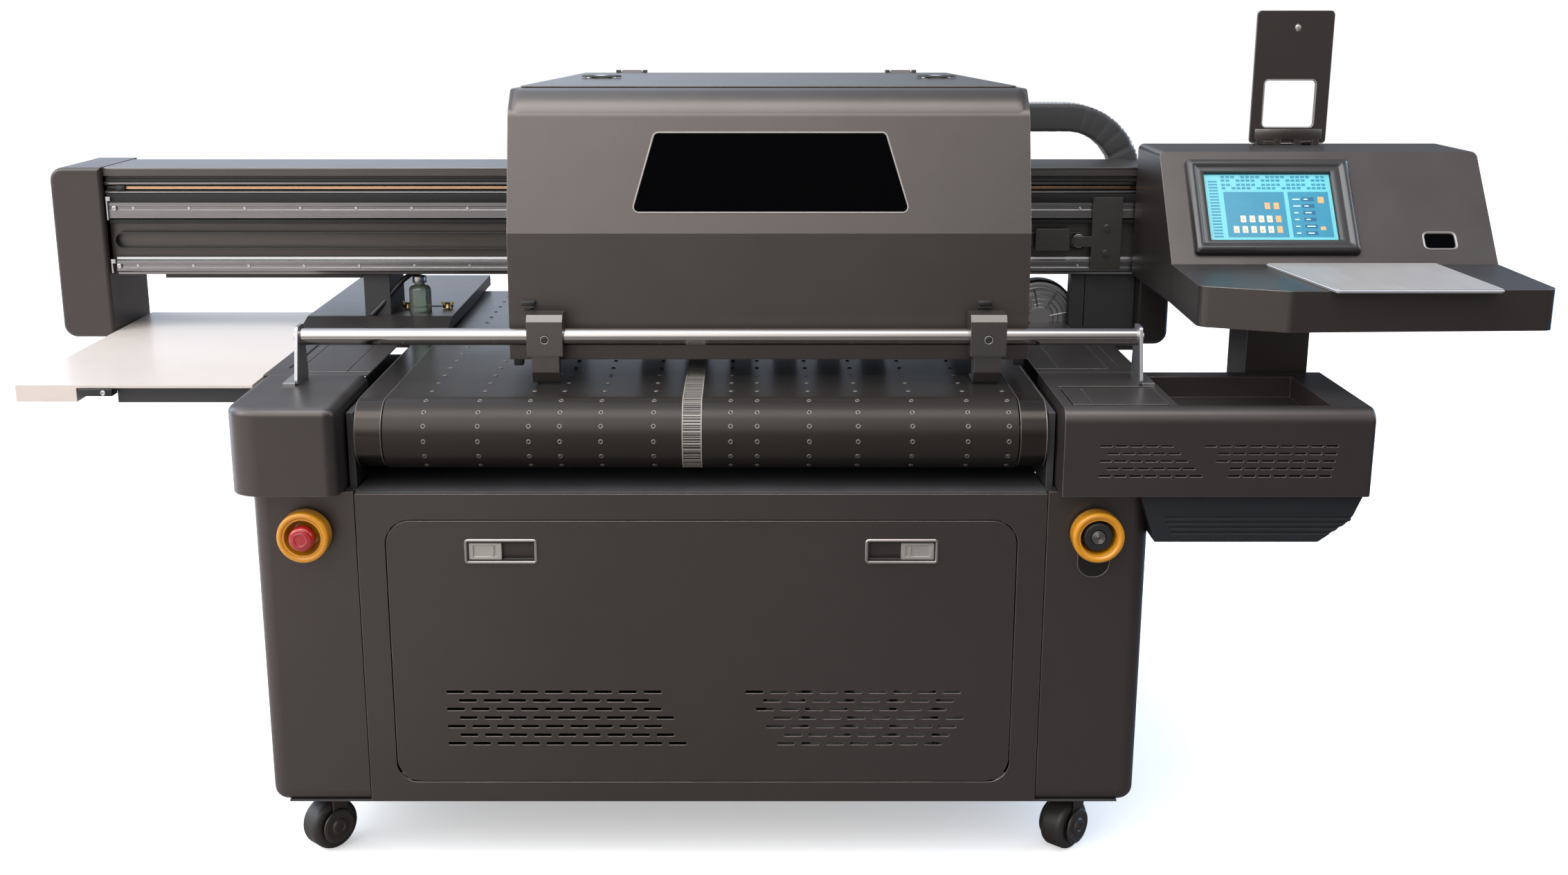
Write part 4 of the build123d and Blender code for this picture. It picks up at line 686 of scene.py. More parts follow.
def framed(build, centre, across, up, width, height, radius, profile, cap=False):
    """A rounded frame: each (inset, rise) of the profile is one loop, in millimetres, outwards."""
    across, up = Vector(across).normalized(), Vector(up).normalized()
    out = across.cross(up)
    loops = []
    for inset, rise in profile:
        flat_points = rounded_loop(width - 2 * inset, height - 2 * inset, radius - inset)
        loops.append([centre + (across * a + up * b + out * rise) * MM for a, b in flat_points])
    rings = loft(build, loops, cap_start=False, cap_end=cap)
    if not cap:
        bridge(build, rings[-1], rings[0])


print("shapes: bar, turned profile, tube, rounded frame")

# %% [markdown]
# ### The belt
# The belt is punched in rows so that air can hold the board down, and each hole has a pressed eyelet.
# A strip with cross bars runs round the middle and shows the position of the belt. Both follow the
# belt's own path, so one function gives the point and the outward direction at any distance along it:
# zero is where the top run meets the front roller.

# %% The path of the belt
ROLLER_Y = 74.0
ROLLER_Z = 834.0
BELT_RADIUS = 66.0


def on_belt(x, along, lift):
    """A point on the belt's outside, `along` mm forward over the nose, and its outward direction."""
    if along <= 0.0:
        return at(x, ROLLER_Y - along, ROLLER_Z + BELT_RADIUS + lift), Vector((0.0, 0.0, 1.0))
    angle = along / BELT_RADIUS
    outward = Vector((0.0, -math.sin(angle), math.cos(angle)))
    return at(x, ROLLER_Y, ROLLER_Z) + outward * (BELT_RADIUS + lift) * MM, outward


COLUMNS = [-500, -402, -310, -254, -180, -85, 54, 102, 196, 284, 382, 482, 556]
NOSE_ROWS = [20, 51, 78, 106, 136, 165]
TOP_ROWS = [-45 - 69 * n for n in range(16)]
print("belt holes", len(COLUMNS) * (len(NOSE_ROWS) + len(TOP_ROWS)))

# %% Eyelets of the belt
rims = bmesh.new()
holes = bmesh.new()
for row in NOSE_ROWS + TOP_ROWS:
    for column in COLUMNS:
        foot, outward = on_belt(column, row, 0.0)
        turned_on(rims, foot, outward, [(4.6, 0.0), (4.2, 0.7), (3.5, 1.0), (2.7, 0.75), (2.2, 0.2)], 14)
        # Each eyelet's hole is a flat black disc: painted shade for the dark inside of the hole.
        turned_on(holes, foot, outward, [(2.4, 0.05), (2.3, 0.28), (0.0, 0.28)], 12)
piece("belt_eyelets", rims, "eyelet_rim", "machine")
piece("belt_eyelet_hole_shade", holes, "shade_black", "machine")

# %% [markdown]
# The strip is two thin rails with bars of uneven width between them, like the teeth of a ruler. Each
# bar is cut into short steps along the path so that it bends over the nose. The widths come from a
# seeded random draw, so they are the same on every run.

# %% The position strip
STRIP_X, STRIP_HALF = -16.0, 17.0
STRIP_START, STRIP_END = -1140.0, 182.0


def along_belt(build, x0, x1, start, end, lift):
    """A thin strip that lies on the belt from one distance to another."""
    count = max(1, int((end - start) / 6.0))
    loops = []
    for n in range(count + 1):
        here = start + (end - start) * n / count
        corners = []
        for x, rise in ((x0, 0.0), (x1, 0.0), (x1, lift), (x0, lift)):
            corners.append(on_belt(x, here, rise)[0])
        loops.append(corners)
    loft(build, loops)


rails = bmesh.new()
for side in (-1, 1):
    edge = STRIP_X + side * STRIP_HALF
    along_belt(rails, edge - 1.1, edge + 1.1, STRIP_START, STRIP_END, 0.7)
draw = random.Random(11)
here = STRIP_START + 4.0
while here < STRIP_END - 6.0:
    bar = draw.choice((1.2, 1.5, 2.0, 3.4))
    along_belt(rails, STRIP_X - STRIP_HALF + 1.0, STRIP_X + STRIP_HALF - 1.0, here, here + bar, 0.45)
    here += bar + draw.choice((1.8, 2.3, 3.0, 4.6))
piece("belt_scale_bars", rails, "cream_scale", "machine")
backing = bmesh.new()
along_belt(backing, STRIP_X - STRIP_HALF, STRIP_X + STRIP_HALF, STRIP_START, STRIP_END, 0.2)
piece("belt_scale_backing", backing, "timing_rubber_black", "machine")

# %% [markdown]
# ### Guards beside the belt
# Each polished guard has a fine bead where it meets the belt and another at its outer edge. A thin
# tube along the belt's path is enough, because only its highlight is ever seen.

# %% Guard beads
GUARD_EDGES = (577.6, 624.8)
BEAD_SINK = -3.2
BEAD_STEP = 8.0
beads = bmesh.new()
for side in (-1, 1):
    for x in GUARD_EDGES:
        points = [on_belt(side * x, -1150.0 + BEAD_STEP * n, BEAD_SINK)[0] for n in range(167)]
        tube_along(beads, points, 0.0011, 8)
piece("guard_beads", beads, "eyelet_rim", "machine")

# %% [markdown]
# ### The cable sleeve
# The cables to the carriage run in a black folded sleeve that bends over behind the beam. Its skin is
# a rounded rectangle carried along a line made of two straight runs and a half circle. It creases
# where it bends, so narrow tucks grow towards the middle of the bend, and its outer edge is stitched.
# It stands for the frame's plain loop, which stays in place for contact only, hidden.

# %% The line of the sleeve
LOOP_X, LOOP_Z, BEND = 800.0, 1205.0, 139.0
SLEEVE_Y = 958.0
TOP_START, LOW_END = -50.0, -400.0
TOP_RUN, TURN, LOW_RUN = LOOP_X - TOP_START, math.pi * BEND, LOOP_X - LOW_END
SLEEVE_LENGTH = TOP_RUN + TURN + LOW_RUN


def sleeve_line(distance):
    """The point (x, z) in millimetres and the outward direction at a distance along the sleeve."""
    if distance <= TOP_RUN:
        return TOP_START + distance, LOOP_Z + BEND, 0.0, 1.0
    if distance <= TOP_RUN + TURN:
        angle = (distance - TOP_RUN) / BEND
        out_x, out_z = math.sin(angle), math.cos(angle)
        return LOOP_X + BEND * out_x, LOOP_Z + BEND * out_z, out_x, out_z
    return LOOP_X - (distance - TOP_RUN - TURN), LOOP_Z - BEND, 0.0, -1.0


print("sleeve length in mm", round(SLEEVE_LENGTH, 1))

# %% The folded skin
SLEEVE_WIDE, SLEEVE_TALL, CORNER = 60.0, 62.0, 9.0
CREASE_STEP, CREASE_REACH = 31.0, 300.0
BEND_MIDDLE = TOP_RUN + TURN / 2
step = 3.4
count = int(SLEEVE_LENGTH / step)
skin = bmesh.new()
loops = []
for n in range(count + 1):
    x, z, out_x, out_z = sleeve_line(n * SLEEVE_LENGTH / count)
    run = n * step
    bent = max(0.0, 1.0 - abs(run - BEND_MIDDLE) / CREASE_REACH)
    crease = abs(math.sin(math.pi * run / CREASE_STEP + 1.3 * math.sin(run / 47.0))) ** 7
    fold = (0.010 + 0.050 * bent) * crease
    loop = []
    for a, b in rounded_loop(SLEEVE_WIDE - 60.0 * fold, SLEEVE_TALL - 36.0 * fold, CORNER, 4):
        tuck = 32.0 * fold * math.sin(0.11 * b + run / 9.0) if a < 0.0 else 0.0
        loop.append(at(x + out_x * b, SLEEVE_Y + a + tuck, z + out_z * b))
    loops.append(loop)
loft(skin, loops)
sleeve = piece("cable_sleeve", skin, "sleeve_fabric", "cable_chain", 80.0)
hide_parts("cable_chain")

# %% The seam of the sleeve
STITCH = 9.0
seam = bmesh.new()
for n in range(int(SLEEVE_LENGTH / STITCH)):
    for y in (SLEEVE_Y - 27.0, SLEEVE_Y + 27.0):
        ends = []
        for share in (0.15, 0.5, 0.85):
            x, z, out_x, out_z = sleeve_line((n + share) * STITCH)
            rise = 30.2 + 0.7 * math.sin(math.pi * share)
            ends.append(at(x + out_x * rise, y, z + out_z * rise))
        tube_along(seam, ends, 0.0008, 6)
piece("cable_sleeve_seam", seam, "stitch_grey", "cable_chain")

# %% [markdown]
# ### The beam's front
# Between the grooves of the extrusion lies the copper coloured strip that the carriage reads its
# position from, held by a small black end block. The rails are screwed down at even steps, and each
# has a bent stop plate at its left end.

# %% Position strip and its end block
BEAM_START, BEAM_END = -1294.0, 926.0
FRONTWARD = (0, -1, 0)
bars("beam_copper_strip", "copper_strip", "machine",
     [((-1262.0, 733.0, 1206.2), (BEAM_END, 738.5, 1212.0), 0.0004)])
TRIMS = [(729.8, 731.6, 1217.0, 1221.0), (726.9, 729.0, 1249.2, 1252.6), (728.9, 731.0, 1197.6, 1200.6)]
bars("beam_bright_trims", "rail_bright", "machine",
     [((BEAM_START - 2.0, y0, z0), (BEAM_END, y1, z1), 0.0006) for y0, y1, z0, z1 in TRIMS])
holder = bmesh.new()
plate(holder, (-1274.0, 727.5, 1203.5), (-1256.0, 737.0, 1214.0), 0.0015)
turned_on(holder, at(-1263.0, 727.6, 1209.0), FRONTWARD, [(3.2, 0.0), (3.0, 1.6), (0.0, 2.2)], 18)
piece("beam_strip_holder", holder, "black_moulding", "machine")

# %% Painted shade in the grooves of the beam
GROOVES = [(724.2, 727.0, 1178.0, 1196.5, 0.0004), (737.6, 739.6, 1200.6, 1206.4, 0.0002),
           (737.6, 739.6, 1211.8, 1217.0, 0.0002), (727.2, 728.6, 1222.0, 1228.0, 0.0002),
           (727.2, 730.0, 1133.0, 1140.8, 0.0002)]
bars("beam_groove_shade", "shade_black", "machine",
     [((BEAM_START, y0, z0), (BEAM_END, y1, z1), soft) for y0, y1, z0, z1, soft in GROOVES])

# %% Screws and stop plates of the rails
spun("rail_screws", "zinc_steel", "machine",
     [at(-1240.0 + 120.0 * n, 727.2, z) for z in (1166.0, 1041.0) for n in range(18)], FRONTWARD,
     [(3.4, 0.0), (3.3, 1.1), (2.6, 1.5), (1.9, 1.5), (1.7, 0.6), (0.0, 0.6)], 18)
stops = bmesh.new()
for z0, z1 in ((1141.0, 1191.0), (1026.0, 1056.0)):
    plate(stops, (-1296.0, 719.5, z0), (-1292.6, 728.0, z1), 0.0008)
    plate(stops, (-1296.0, 719.0, z1 - 9.0), (-1286.0, 722.0, z1), 0.0008)
    turned_on(stops, at(-1280.0, 724.9, (z0 + z1) / 2), FRONTWARD,
              [(5.4, 0.0), (5.0, 2.6), (3.6, 3.4), (2.4, 3.4), (2.2, 1.8), (0.0, 1.8)], 20)
piece("rail_stop_plates", stops, "zinc_steel", "machine")

# %% [markdown]
# ### The hood
# The hood's window has a fine bright trim, the lid has two black pull rings, and two rubber bumpers sit
# low on the front where the hood comes nearest to the clamps. The sloping face leans back, so the trim
# is built from the same slope.

# %% Window trim
SLOPE_Y, SLOPE_Z = 250.0, 1175.0
LEAN = 72.0 / 222.0


def on_slope(x, z, lift):
    """A point on the hood's sloping face, raised by `lift` mm."""
    length = math.hypot(1.0, LEAN)
    return at(x, SLOPE_Y + (z - SLOPE_Z) * LEAN - lift / length, z + lift * LEAN / length)


def rounded_corners(corners, radius, steps=5):
    """A closed outline with every corner turned into an arc."""
    outline = []
    for n, corner in enumerate(corners):
        before = (Vector(corners[n - 1]) - Vector(corner)).normalized()
        after = (Vector(corners[(n + 1) % len(corners)]) - Vector(corner)).normalized()
        half = before.angle(after) / 2
        reach = radius / math.tan(half)
        centre = Vector(corner) + (before + after).normalized() * radius / math.sin(half)
        start = (Vector(corner) + before * reach - centre).normalized()
        end = (Vector(corner) + after * reach - centre).normalized()
        for k in range(steps + 1):
            outline.append(centre + start.slerp(end, k / steps) * radius)
    return outline


def slope_outline(grow, radius):
    foot, head = grow * 1.25, grow * 0.85
    corners = [(-134.0 - foot, 1214.0 - grow), (390.0 + foot, 1214.0 - grow),
               (346.0 + head, 1358.0 + grow), (-92.0 - head, 1358.0 + grow)]
    return rounded_corners(corners, radius)


TRIM_PROFILE = ((2.6, -0.6), (2.5, 0.6), (1.8, 1.1), (0.2, 1.1), (-0.6, 0.5), (-0.7, -2.0))
trim = bmesh.new()
loops = [[on_slope(*p, lift) for p in slope_outline(grow, 9.0 + grow)] for grow, lift in TRIM_PROFILE]
rings = loft(trim, loops, cap_start=False, cap_end=False)
bridge(trim, rings[-1], rings[0])
piece("hood_window_trim", trim, "trim_light", "carriage")
pane = bmesh.new()
loft(pane, [[on_slope(*p, lift) for p in slope_outline(-0.5, 8.5)] for lift in (-2.2, 0.1)])
piece("hood_window_face", pane, "window_black", "carriage")

# %% Rolled front edge of the hood
ROLL_START, ROLL_TURN, ROLL_END = Vector((318.4, 1385.0)), Vector((335.0, 1437.2)), Vector((388.0, 1437.2))
HOOD_LEFT, HOOD_RIGHT = -369.5, 618.5
FADE = ((0.0, 0.0), (1.0, 0.30), (3.5, 0.58), (7.5, 0.80), (13.5, 0.94), (21.5, 1.0))
stations = [(HOOD_LEFT + inset, bulge) for inset, bulge in FADE]
stations += [(HOOD_RIGHT - inset, bulge) for inset, bulge in reversed(FADE)]
roll = bmesh.new()
loops = []
for x, bulge in stations:
    loop = []
    for n in range(25):
        t = n / 24
        curve = ROLL_START * (1 - t) ** 2 + ROLL_TURN * 2 * t * (1 - t) + ROLL_END * t ** 2
        point = ROLL_START.lerp(ROLL_END, t).lerp(curve, bulge)
        loop.append(at(x, point.x, point.y))
    loops.append(loop + [at(x, 384.0, 1430.0), at(x, 326.0, 1384.0)])
loft(roll, loops)
piece("hood_rolled_edge", roll, "hood_powder_coat", "carriage", 60.0)

# %% Pull rings of the lid
PULL_X, PULL_Y = (-225.0, 482.0), 725.0
pull_rings = bmesh.new()
handles = bmesh.new()
for x in PULL_X:
    framed(pull_rings, at(x, PULL_Y, 1440.8), (1, 0, 0), (0, 1, 0), 84.0, 34.0, 14.0,
           [(0.0, 2.4), (0.4, 4.6), (2.2, 5.8), (4.4, 5.0), (5.4, 3.2), (5.4, 2.4)])
    arch = [(x - 30.0 + 6.0 * n, 1440.5 + 4.0 * math.sin(math.pi * n / 10)) for n in range(11)]
    tube_along(handles, [at(px, PULL_Y, pz) for px, pz in arch], 0.0032, 12)
piece("lid_pull_rings", pull_rings, "black_moulding", "hood_lid")
piece("lid_pull_handles", handles, "zinc_steel", "hood_lid")

# %% Bumpers and foot of the hood
bumpers = []
for x in (-332.0, 534.0):
    bumpers.append(((x - 13.0, 229.0, 1040.0), (x + 13.0, 247.0, 1049.0), 0.0022))
    bumpers.append(((x - 7.0, 232.0, 1030.0), (x + 7.0, 245.0, 1041.0), 0.0015))
for x in (-364.0, 596.0):
    bumpers.append(((x, 243.0, 922.0), (x + 18.0, 262.0, 936.0), 0.002))
bars("hood_bumpers", "black_moulding", "carriage", bumpers)

# %% [markdown]
# ### Screws of the stops
# Each stop is nipped on the front rail by one socket screw in a recess, on the rail's own axis. The screw is
# black as painted shade of its hex socket and recess.

# %% Stop screws
SCREW_Y = at(0.0, 160.0, 0.0).y
rail_low, rail_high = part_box("front_rail")
for name in ("left_stop", "right_stop"):
    stop_low, stop_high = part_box(name)
    centre = Vector(((stop_low.x + stop_high.x) / 2, SCREW_Y, (rail_low.z + rail_high.z) / 2 - 0.001))
    spun(name + "_screw_rim", "trim_light", name, [centre], FRONTWARD,
         [(8.4, 0.0), (8.2, 0.7), (7.0, 0.9), (6.4, 0.3), (6.4, 0.0)], 28)
    # Black screw: painted shade of the hex socket and the recess round it.
    spun(name + "_screw", "black_moulding", name, [centre], FRONTWARD,
         [(6.5, 0.0), (6.3, 0.3), (4.4, 0.35), (4.2, 0.9), (2.6, 1.0), (2.2, 0.4), (0.0, 0.4)], 24)

# %% [markdown]
# ### Latches, buttons and the lower pull
# The door latches sit in bright cast frames. The rotary switch has turned rings in its middle. Below
# it the right side cover has a flat obround pull with a dark pocket.

# %% Frames, and painted shade in the latch recesses
RIGHTWARD, UPWARD = (1, 0, 0), (0, 0, 1)
LATCH_X, LATCH_Z = 366.0, 627.0


def fronted(name, finish, body, places, width, height, radius, profile, cap=False):
    """One piece made of the same rounded frame at one or more places (x, z) on the front sheet."""
    build = bmesh.new()
    for x, z in places:
        framed(build, at(x, 0.0, z), RIGHTWARD, UPWARD, width, height, radius, profile, cap)
    return piece(name, build, finish, body)


latches = [(-LATCH_X, LATCH_Z), (LATCH_X, LATCH_Z)]
fronted("latch_frames", "latch_frame_metal", "front_door", latches, 134.0, 48.0, 7.0,
        [(0.0, 0.0), (0.2, 1.8), (1.6, 3.2), (4.4, 3.2), (5.8, 2.0), (6.0, -1.6), (6.0, 0.0)])
# The black lining inside each frame is painted shade in the recess round the latch.
fronted("latch_recess_shade", "shade_black", "front_door", latches, 122.0, 36.0, 3.0,
        [(-0.4, 0.4), (0.0, 1.9), (0.7, 2.2), (1.9, 1.6), (2.3, 0.2), (2.2, -0.4)])

# %% Bead and dish of the guard rings
GUARD_X, GUARD_Z = 717.0, 664.0
RING_DISH = [(46.7, 36.8), (46.0, 38.8), (43.8, 40.4), (41.0, 40.9), (38.2, 40.2), (36.2, 38.2), (34.4, 35.6),
             (32.9, 31.0), (31.6, 25.0)]
collars = bmesh.new()
for x, inner in ((-GUARD_X, 24.6), (GUARD_X, 28.4)):
    centre = at(x, 0.0, GUARD_Z)
    turned_on(collars, centre, FRONTWARD, RING_DISH + [(inner + 1.6, 16.0), (inner, 9.0)], 56)
    turned_on(collars, centre, FRONTWARD, [(41.0, 3.0), (42.4, 4.4), (42.4, 6.2), (41.0, 7.4)], 56)
piece("guard_ring_dishes", collars, "guard_yellow", "machine")

# %% Rotary switch and mushroom details
spun("switch_rings", "stop_satin", "key_knob", [at(GUARD_X, -34.2, GUARD_Z)], FRONTWARD,
     [(12.5, -0.6), (12.5, 1.0), (11.3, 1.8), (10.0, 0.9), (8.8, 1.9), (7.2, 1.0), (6.0, 2.0), (4.4, 1.0),
      (3.2, 2.0), (0.0, 2.4)], 32)
GRIP_RADIUS, GRIP_RIBS = 26.6, 24
grip = bmesh.new()
for n in range(GRIP_RIBS):
    angle = 2 * math.pi * n / GRIP_RIBS
    x, z = GUARD_X + GRIP_RADIUS * math.cos(angle), GUARD_Z + GRIP_RADIUS * math.sin(angle)
    tube_along(grip, [at(x, y, z) for y in (-12.0, -20.0, -28.0)], 0.0011, 6)
piece("switch_grip_ribs", grip, "black_moulding", "key_knob")
spun("stop_button_dish", "mushroom_red", "stop_button", [at(-GUARD_X, -52.0, GUARD_Z)], FRONTWARD,
     [(14.5, -0.8), (14.0, 0.5), (12.5, 1.1), (10.5, 0.7), (9.5, -0.2), (0.0, 0.3)], 36)

# %% Lower pull on the right cover
lower_pull = [(GUARD_X, 616.0)]
fronted("lower_pull_frame", "eyelet_rim", "machine", lower_pull, 60.0, 78.0, 28.0,
        [(0.0, 0.0), (0.2, 0.9), (0.9, 1.3), (1.7, 0.9), (2.0, 0.1)])
fronted("lower_pull_pocket", "pocket_shadow", "machine", lower_pull, 56.5, 74.5, 26.0,
        [(0.0, 0.05), (0.4, 0.35)], cap=True)

# %% [markdown]
# ### The console
# The sloping face carries the screen in a thick moulded bezel. A bezel like this is one profile taken
# round a rounded rectangle, so it is built as nested loops. The picture on the screen is only blocks of
# light: a pale border, darker panes and small tiles, with no words.

# %% Points on the sloping face
FACE_Y, FACE_Z = 360.0, 1100.0
FACE_UP = Vector((0.0, 160.0, 205.0)).normalized()
FACE_OUT = Vector((0.0, -FACE_UP.z, FACE_UP.y))


def on_face(x, up, lift):
    """A point on the console's sloping face: `up` mm from its foot, `lift` mm in front of it."""
    slope = FACE_UP * up + FACE_OUT * lift
    return at(x, FACE_Y + slope.y, FACE_Z + slope.z)


def face_frame(build, x0, x1, t0, t1, radius, profile, cap=False):
    centre = on_face((x0 + x1) / 2, (t0 + t1) / 2, 0.0)
    framed(build, centre, RIGHTWARD, FACE_UP, x1 - x0, t1 - t0, radius, profile, cap)


def face_tile(build, x0, x1, t0, t1, low, high):
    """A flat tile on the sloping face, from one height above it to another."""
    outline = [on_face(x, t, low) for x, t in ((x0, t0), (x1, t0), (x1, t1), (x0, t1))]
    pushed(build, outline, FACE_OUT * (high - low) * MM)


print("face direction", tuple(round(v, 3) for v in FACE_UP))


# %% Bezel and port
BEZEL = [(962.0, 1289.0, 20.0, 236.0, 9.0, 0.0), (962.0, 1289.0, 20.0, 236.0, 9.0, 6.0),
         (963.5, 1287.5, 21.5, 234.5, 8.0, 11.0), (967.0, 1284.0, 25.0, 231.0, 7.0, 15.0),
         (972.0, 1279.0, 29.0, 226.0, 6.0, 16.8), (977.0, 1273.0, 34.0, 221.0, 5.0, 16.0),
         (981.0, 1269.0, 38.0, 217.0, 4.0, 13.8), (982.5, 1267.0, 39.5, 215.5, 3.5, 13.0),
         (984.0, 1265.0, 41.0, 214.0, 3.0, 13.5), (992.0, 1253.0, 47.0, 206.0, 2.5, 13.0),
         (994.6, 1249.4, 47.8, 204.2, 2.0, 12.4), (995.3, 1248.7, 48.5, 203.5, 2.0, 4.0)]
bezel = bmesh.new()
loops = []
for x0, x1, t0, t1, radius, rise in BEZEL:
    centre = on_face((x0 + x1) / 2, (t0 + t1) / 2, rise)
    flat_points = rounded_loop(x1 - x0, t1 - t0, radius)
    loops.append([centre + (Vector(RIGHTWARD) * a + FACE_UP * b) * MM for a, b in flat_points])
rings = loft(bezel, loops, cap_start=False, cap_end=False)
bridge(bezel, rings[-1], rings[0])
piece("screen_bezel_moulding", bezel, "screen_bezel", "machine")
port = bmesh.new()
face_frame(port, 1415.0, 1483.0, 32.0, 74.0, 12.0,
           [(0.0, -0.5), (0.3, 0.8), (1.6, 1.4), (3.4, 1.0), (4.6, -0.6), (5.0, -4.0)])
piece("port_rim", port, "trim_light", "machine")
cover = bmesh.new()
face_frame(cover, 1418.0, 1480.0, 35.0, 71.0, 9.0, [(0.0, -2.6), (1.0, -1.6)], cap=True)
piece("port_cover", cover, "window_black", "machine")

# %% The picture on the screen
GLASS = 4.2
GLOW_TOP = GLASS + 0.6
PANE_TOP = GLASS + 0.9
TILE_TOP = GLASS + 1.2
glow = bmesh.new()
face_tile(glow, 996.5, 1247.5, 49.5, 202.5, GLASS, GLOW_TOP)
piece("screen_glow", glow, "screen_cyan", "machine")
panes = bmesh.new()
blocks = [(1032, 1152, 58, 162), (1160, 1240, 58, 162)]
blocks += [(1030 + 10.0 * n, 1037.5 + 10.0 * n, t0, t0 + 5.0)
           for n in range(21) for t0 in (168, 176, 186, 194) if (n * 7 + t0) % 5]
blocks += [(1004, 1022, 58 + 7.0 * n, 61.6 + 7.0 * n) for n in range(19)]
for x0, x1, t0, t1 in blocks:
    face_tile(panes, x0, x1, t0, t1, GLOW_TOP, PANE_TOP)
piece("screen_panes", panes, "screen_blue", "machine")

# %% Tiles and marks of the picture
tiles = bmesh.new()
warm = bmesh.new()
pick = random.Random(5)
for t0, first in ((68, 0), (92, 1), (122, 4)):
    for column in range(first, 6):
        x0 = 1044 + 17.0 * column + pick.uniform(-1.0, 1.0)
        build = warm if column > 4 or t0 == 122 else tiles
        face_tile(build, x0, x0 + 10.5, t0, t0 + 15, PANE_TOP, TILE_TOP)
        face_tile(warm, x0 + 3.0, x0 + 7.0, t0 + 3, t0 + 8, TILE_TOP, TILE_TOP + 0.2)
face_tile(warm, 1218, 1230, 136, 150, PANE_TOP, TILE_TOP)
face_tile(warm, 1216, 1226, 74, 82, PANE_TOP, TILE_TOP)
piece("screen_tiles", tiles, "screen_cream", "machine")
piece("screen_warm_tiles", warm, "screen_orange", "machine")
marks = bmesh.new()
deep = bmesh.new()
for n in range(6):
    t0 = 66 + 15.5 * n
    face_tile(marks, 1168, 1168 + pick.choice((8, 14)), t0, t0 + 2.4, PANE_TOP, TILE_TOP)
    face_tile(deep, 1186, 1210, t0 - 3, t0 + 5.5, PANE_TOP, PANE_TOP + 0.2)
    face_tile(marks, 1190, 1190 + pick.choice((8, 12, 16)), t0, t0 + 2.4, PANE_TOP + 0.2, PANE_TOP + 0.4)
piece("screen_marks", marks, "screen_pale", "machine")
piece("screen_deep_marks", deep, "screen_deep", "machine")

# %% [markdown]
# A thin pale bluish bead runs along two edges of the pad, a painted highlight on its front and left edges.
# The folding plate has a rounded trim round its window, a dome screw at its top and a pivot knob at its foot.

# %% Pad edge, plate trim, plate screw and hinge knob
pad = bmesh.new()
# The pale bluish bead is a painted highlight along the pad's front and left edges.
tube_along(pad, [at(x, 19.6, 1104.0) for x in (1128.5, 1160.0, 1280.0, 1423.5)], 0.0014, 10)
tube_along(pad, [at(x, y, 1104.0) for x, y in ((1128.0, 20.0), (1110.0, 175.0), (1092.3, 328.0))], 0.0014, 10)
piece("pad_edge_highlight_bead", pad, "pad_edge_highlight", "machine")
plate_trim = bmesh.new()
for y, facing_side in ((679.0, 1), (685.0, -1)):
    framed(plate_trim, at(1218.0, y, 1390.0), (facing_side, 0, 0), UPWARD, 112.0, 102.0, 11.0,
           [(0.0, 0.0), (0.4, 1.0), (1.6, 1.3), (2.8, 0.9), (3.1, -0.4), (3.0, -0.6)])
piece("plate_window_trim", plate_trim, "trim_light", "folding_plate")
spun("plate_screw", "latch_silver", "folding_plate", [at(1225.0, 682.0, 1546.0)], FRONTWARD,
     [(6.4, -3.0), (6.4, 2.2), (5.6, 3.8), (3.4, 4.8), (0.0, 5.2)], 24)
bars("plate_hinge_strip", "charcoal_powder_coat", "folding_plate",
     [((1150.0, 675.7, 1316.5), (1290.0, 676.5, 1338.0), 0.0003)])
knob = bmesh.new()
turned_on(knob, at(1163.0, 690.0, 1306.0), UPWARD,
          [(9.0, 0.0), (9.0, 3.0), (7.5, 7.0), (4.0, 9.4), (0.0, 10.0)], 24)
plate(knob, (1160.0, 676.0, 1304.0), (1192.0, 680.5, 1309.0), 0.001)
piece("hinge_knob", knob, "black_moulding", "machine")

# %% [markdown]
# ### Behind and beside the belt
# The waste bottle has a metal cap and a rigid bent pipe, the plinth hatch has two turned wing nuts, and
# the suction blower has a guard of rings and spokes.

# %% Bottle cap and pipe
spun("bottle_cap", "zinc_steel", "machine", [at(-640.0, 775.0, 997.0)], UPWARD,
     [(14.6, 0.0), (15.2, 1.0), (15.2, 12.0), (14.0, 14.6), (9.0, 16.2), (6.0, 16.2), (5.6, 21.0),
      (0.0, 21.4)], 28)
PIPE_LINE = [(-640, 775, 1014), (-646, 772, 1018), (-658, 768, 1016), (-674, 762, 1004), (-694, 754, 982),
             (-716, 745, 955), (-733, 739, 938), (-742, 736, 930)]
pipe = bmesh.new()
tube_along(pipe, [at(*point) for point in PIPE_LINE], 0.0058, 14)
piece("bottle_pipe", pipe, "black_moulding", "machine")

# %% Wing nuts
WING = [(5.0, 933.0), (12.5, 938.0), (13.5, 945.5), (9.0, 946.5), (5.0, 940.0)]
nuts = bmesh.new()
for x in (-680.0, -590.0):
    turned_on(nuts, at(x, 830.0, 930.0), UPWARD,
              [(8.4, 0.0), (8.0, 3.0), (5.8, 7.4), (5.6, 9.0), (0.0, 9.4)], 24)
    for side in (-1, 1):
        wing = [at(x + side * reach, 828.2, z) for reach, z in WING]
        pushed(nuts, wing[::side], Vector((0.0, 3.6 * MM, 0.0)), 0.0005)
piece("wing_nuts", nuts, "brass_turned", "machine")

# %% Blower guard
BLOWER_X, BLOWER_Z = 731.0, 916.0


def round_blower(radius, angle, y):
    return at(BLOWER_X + radius * math.cos(angle), y, BLOWER_Z + radius * math.sin(angle))


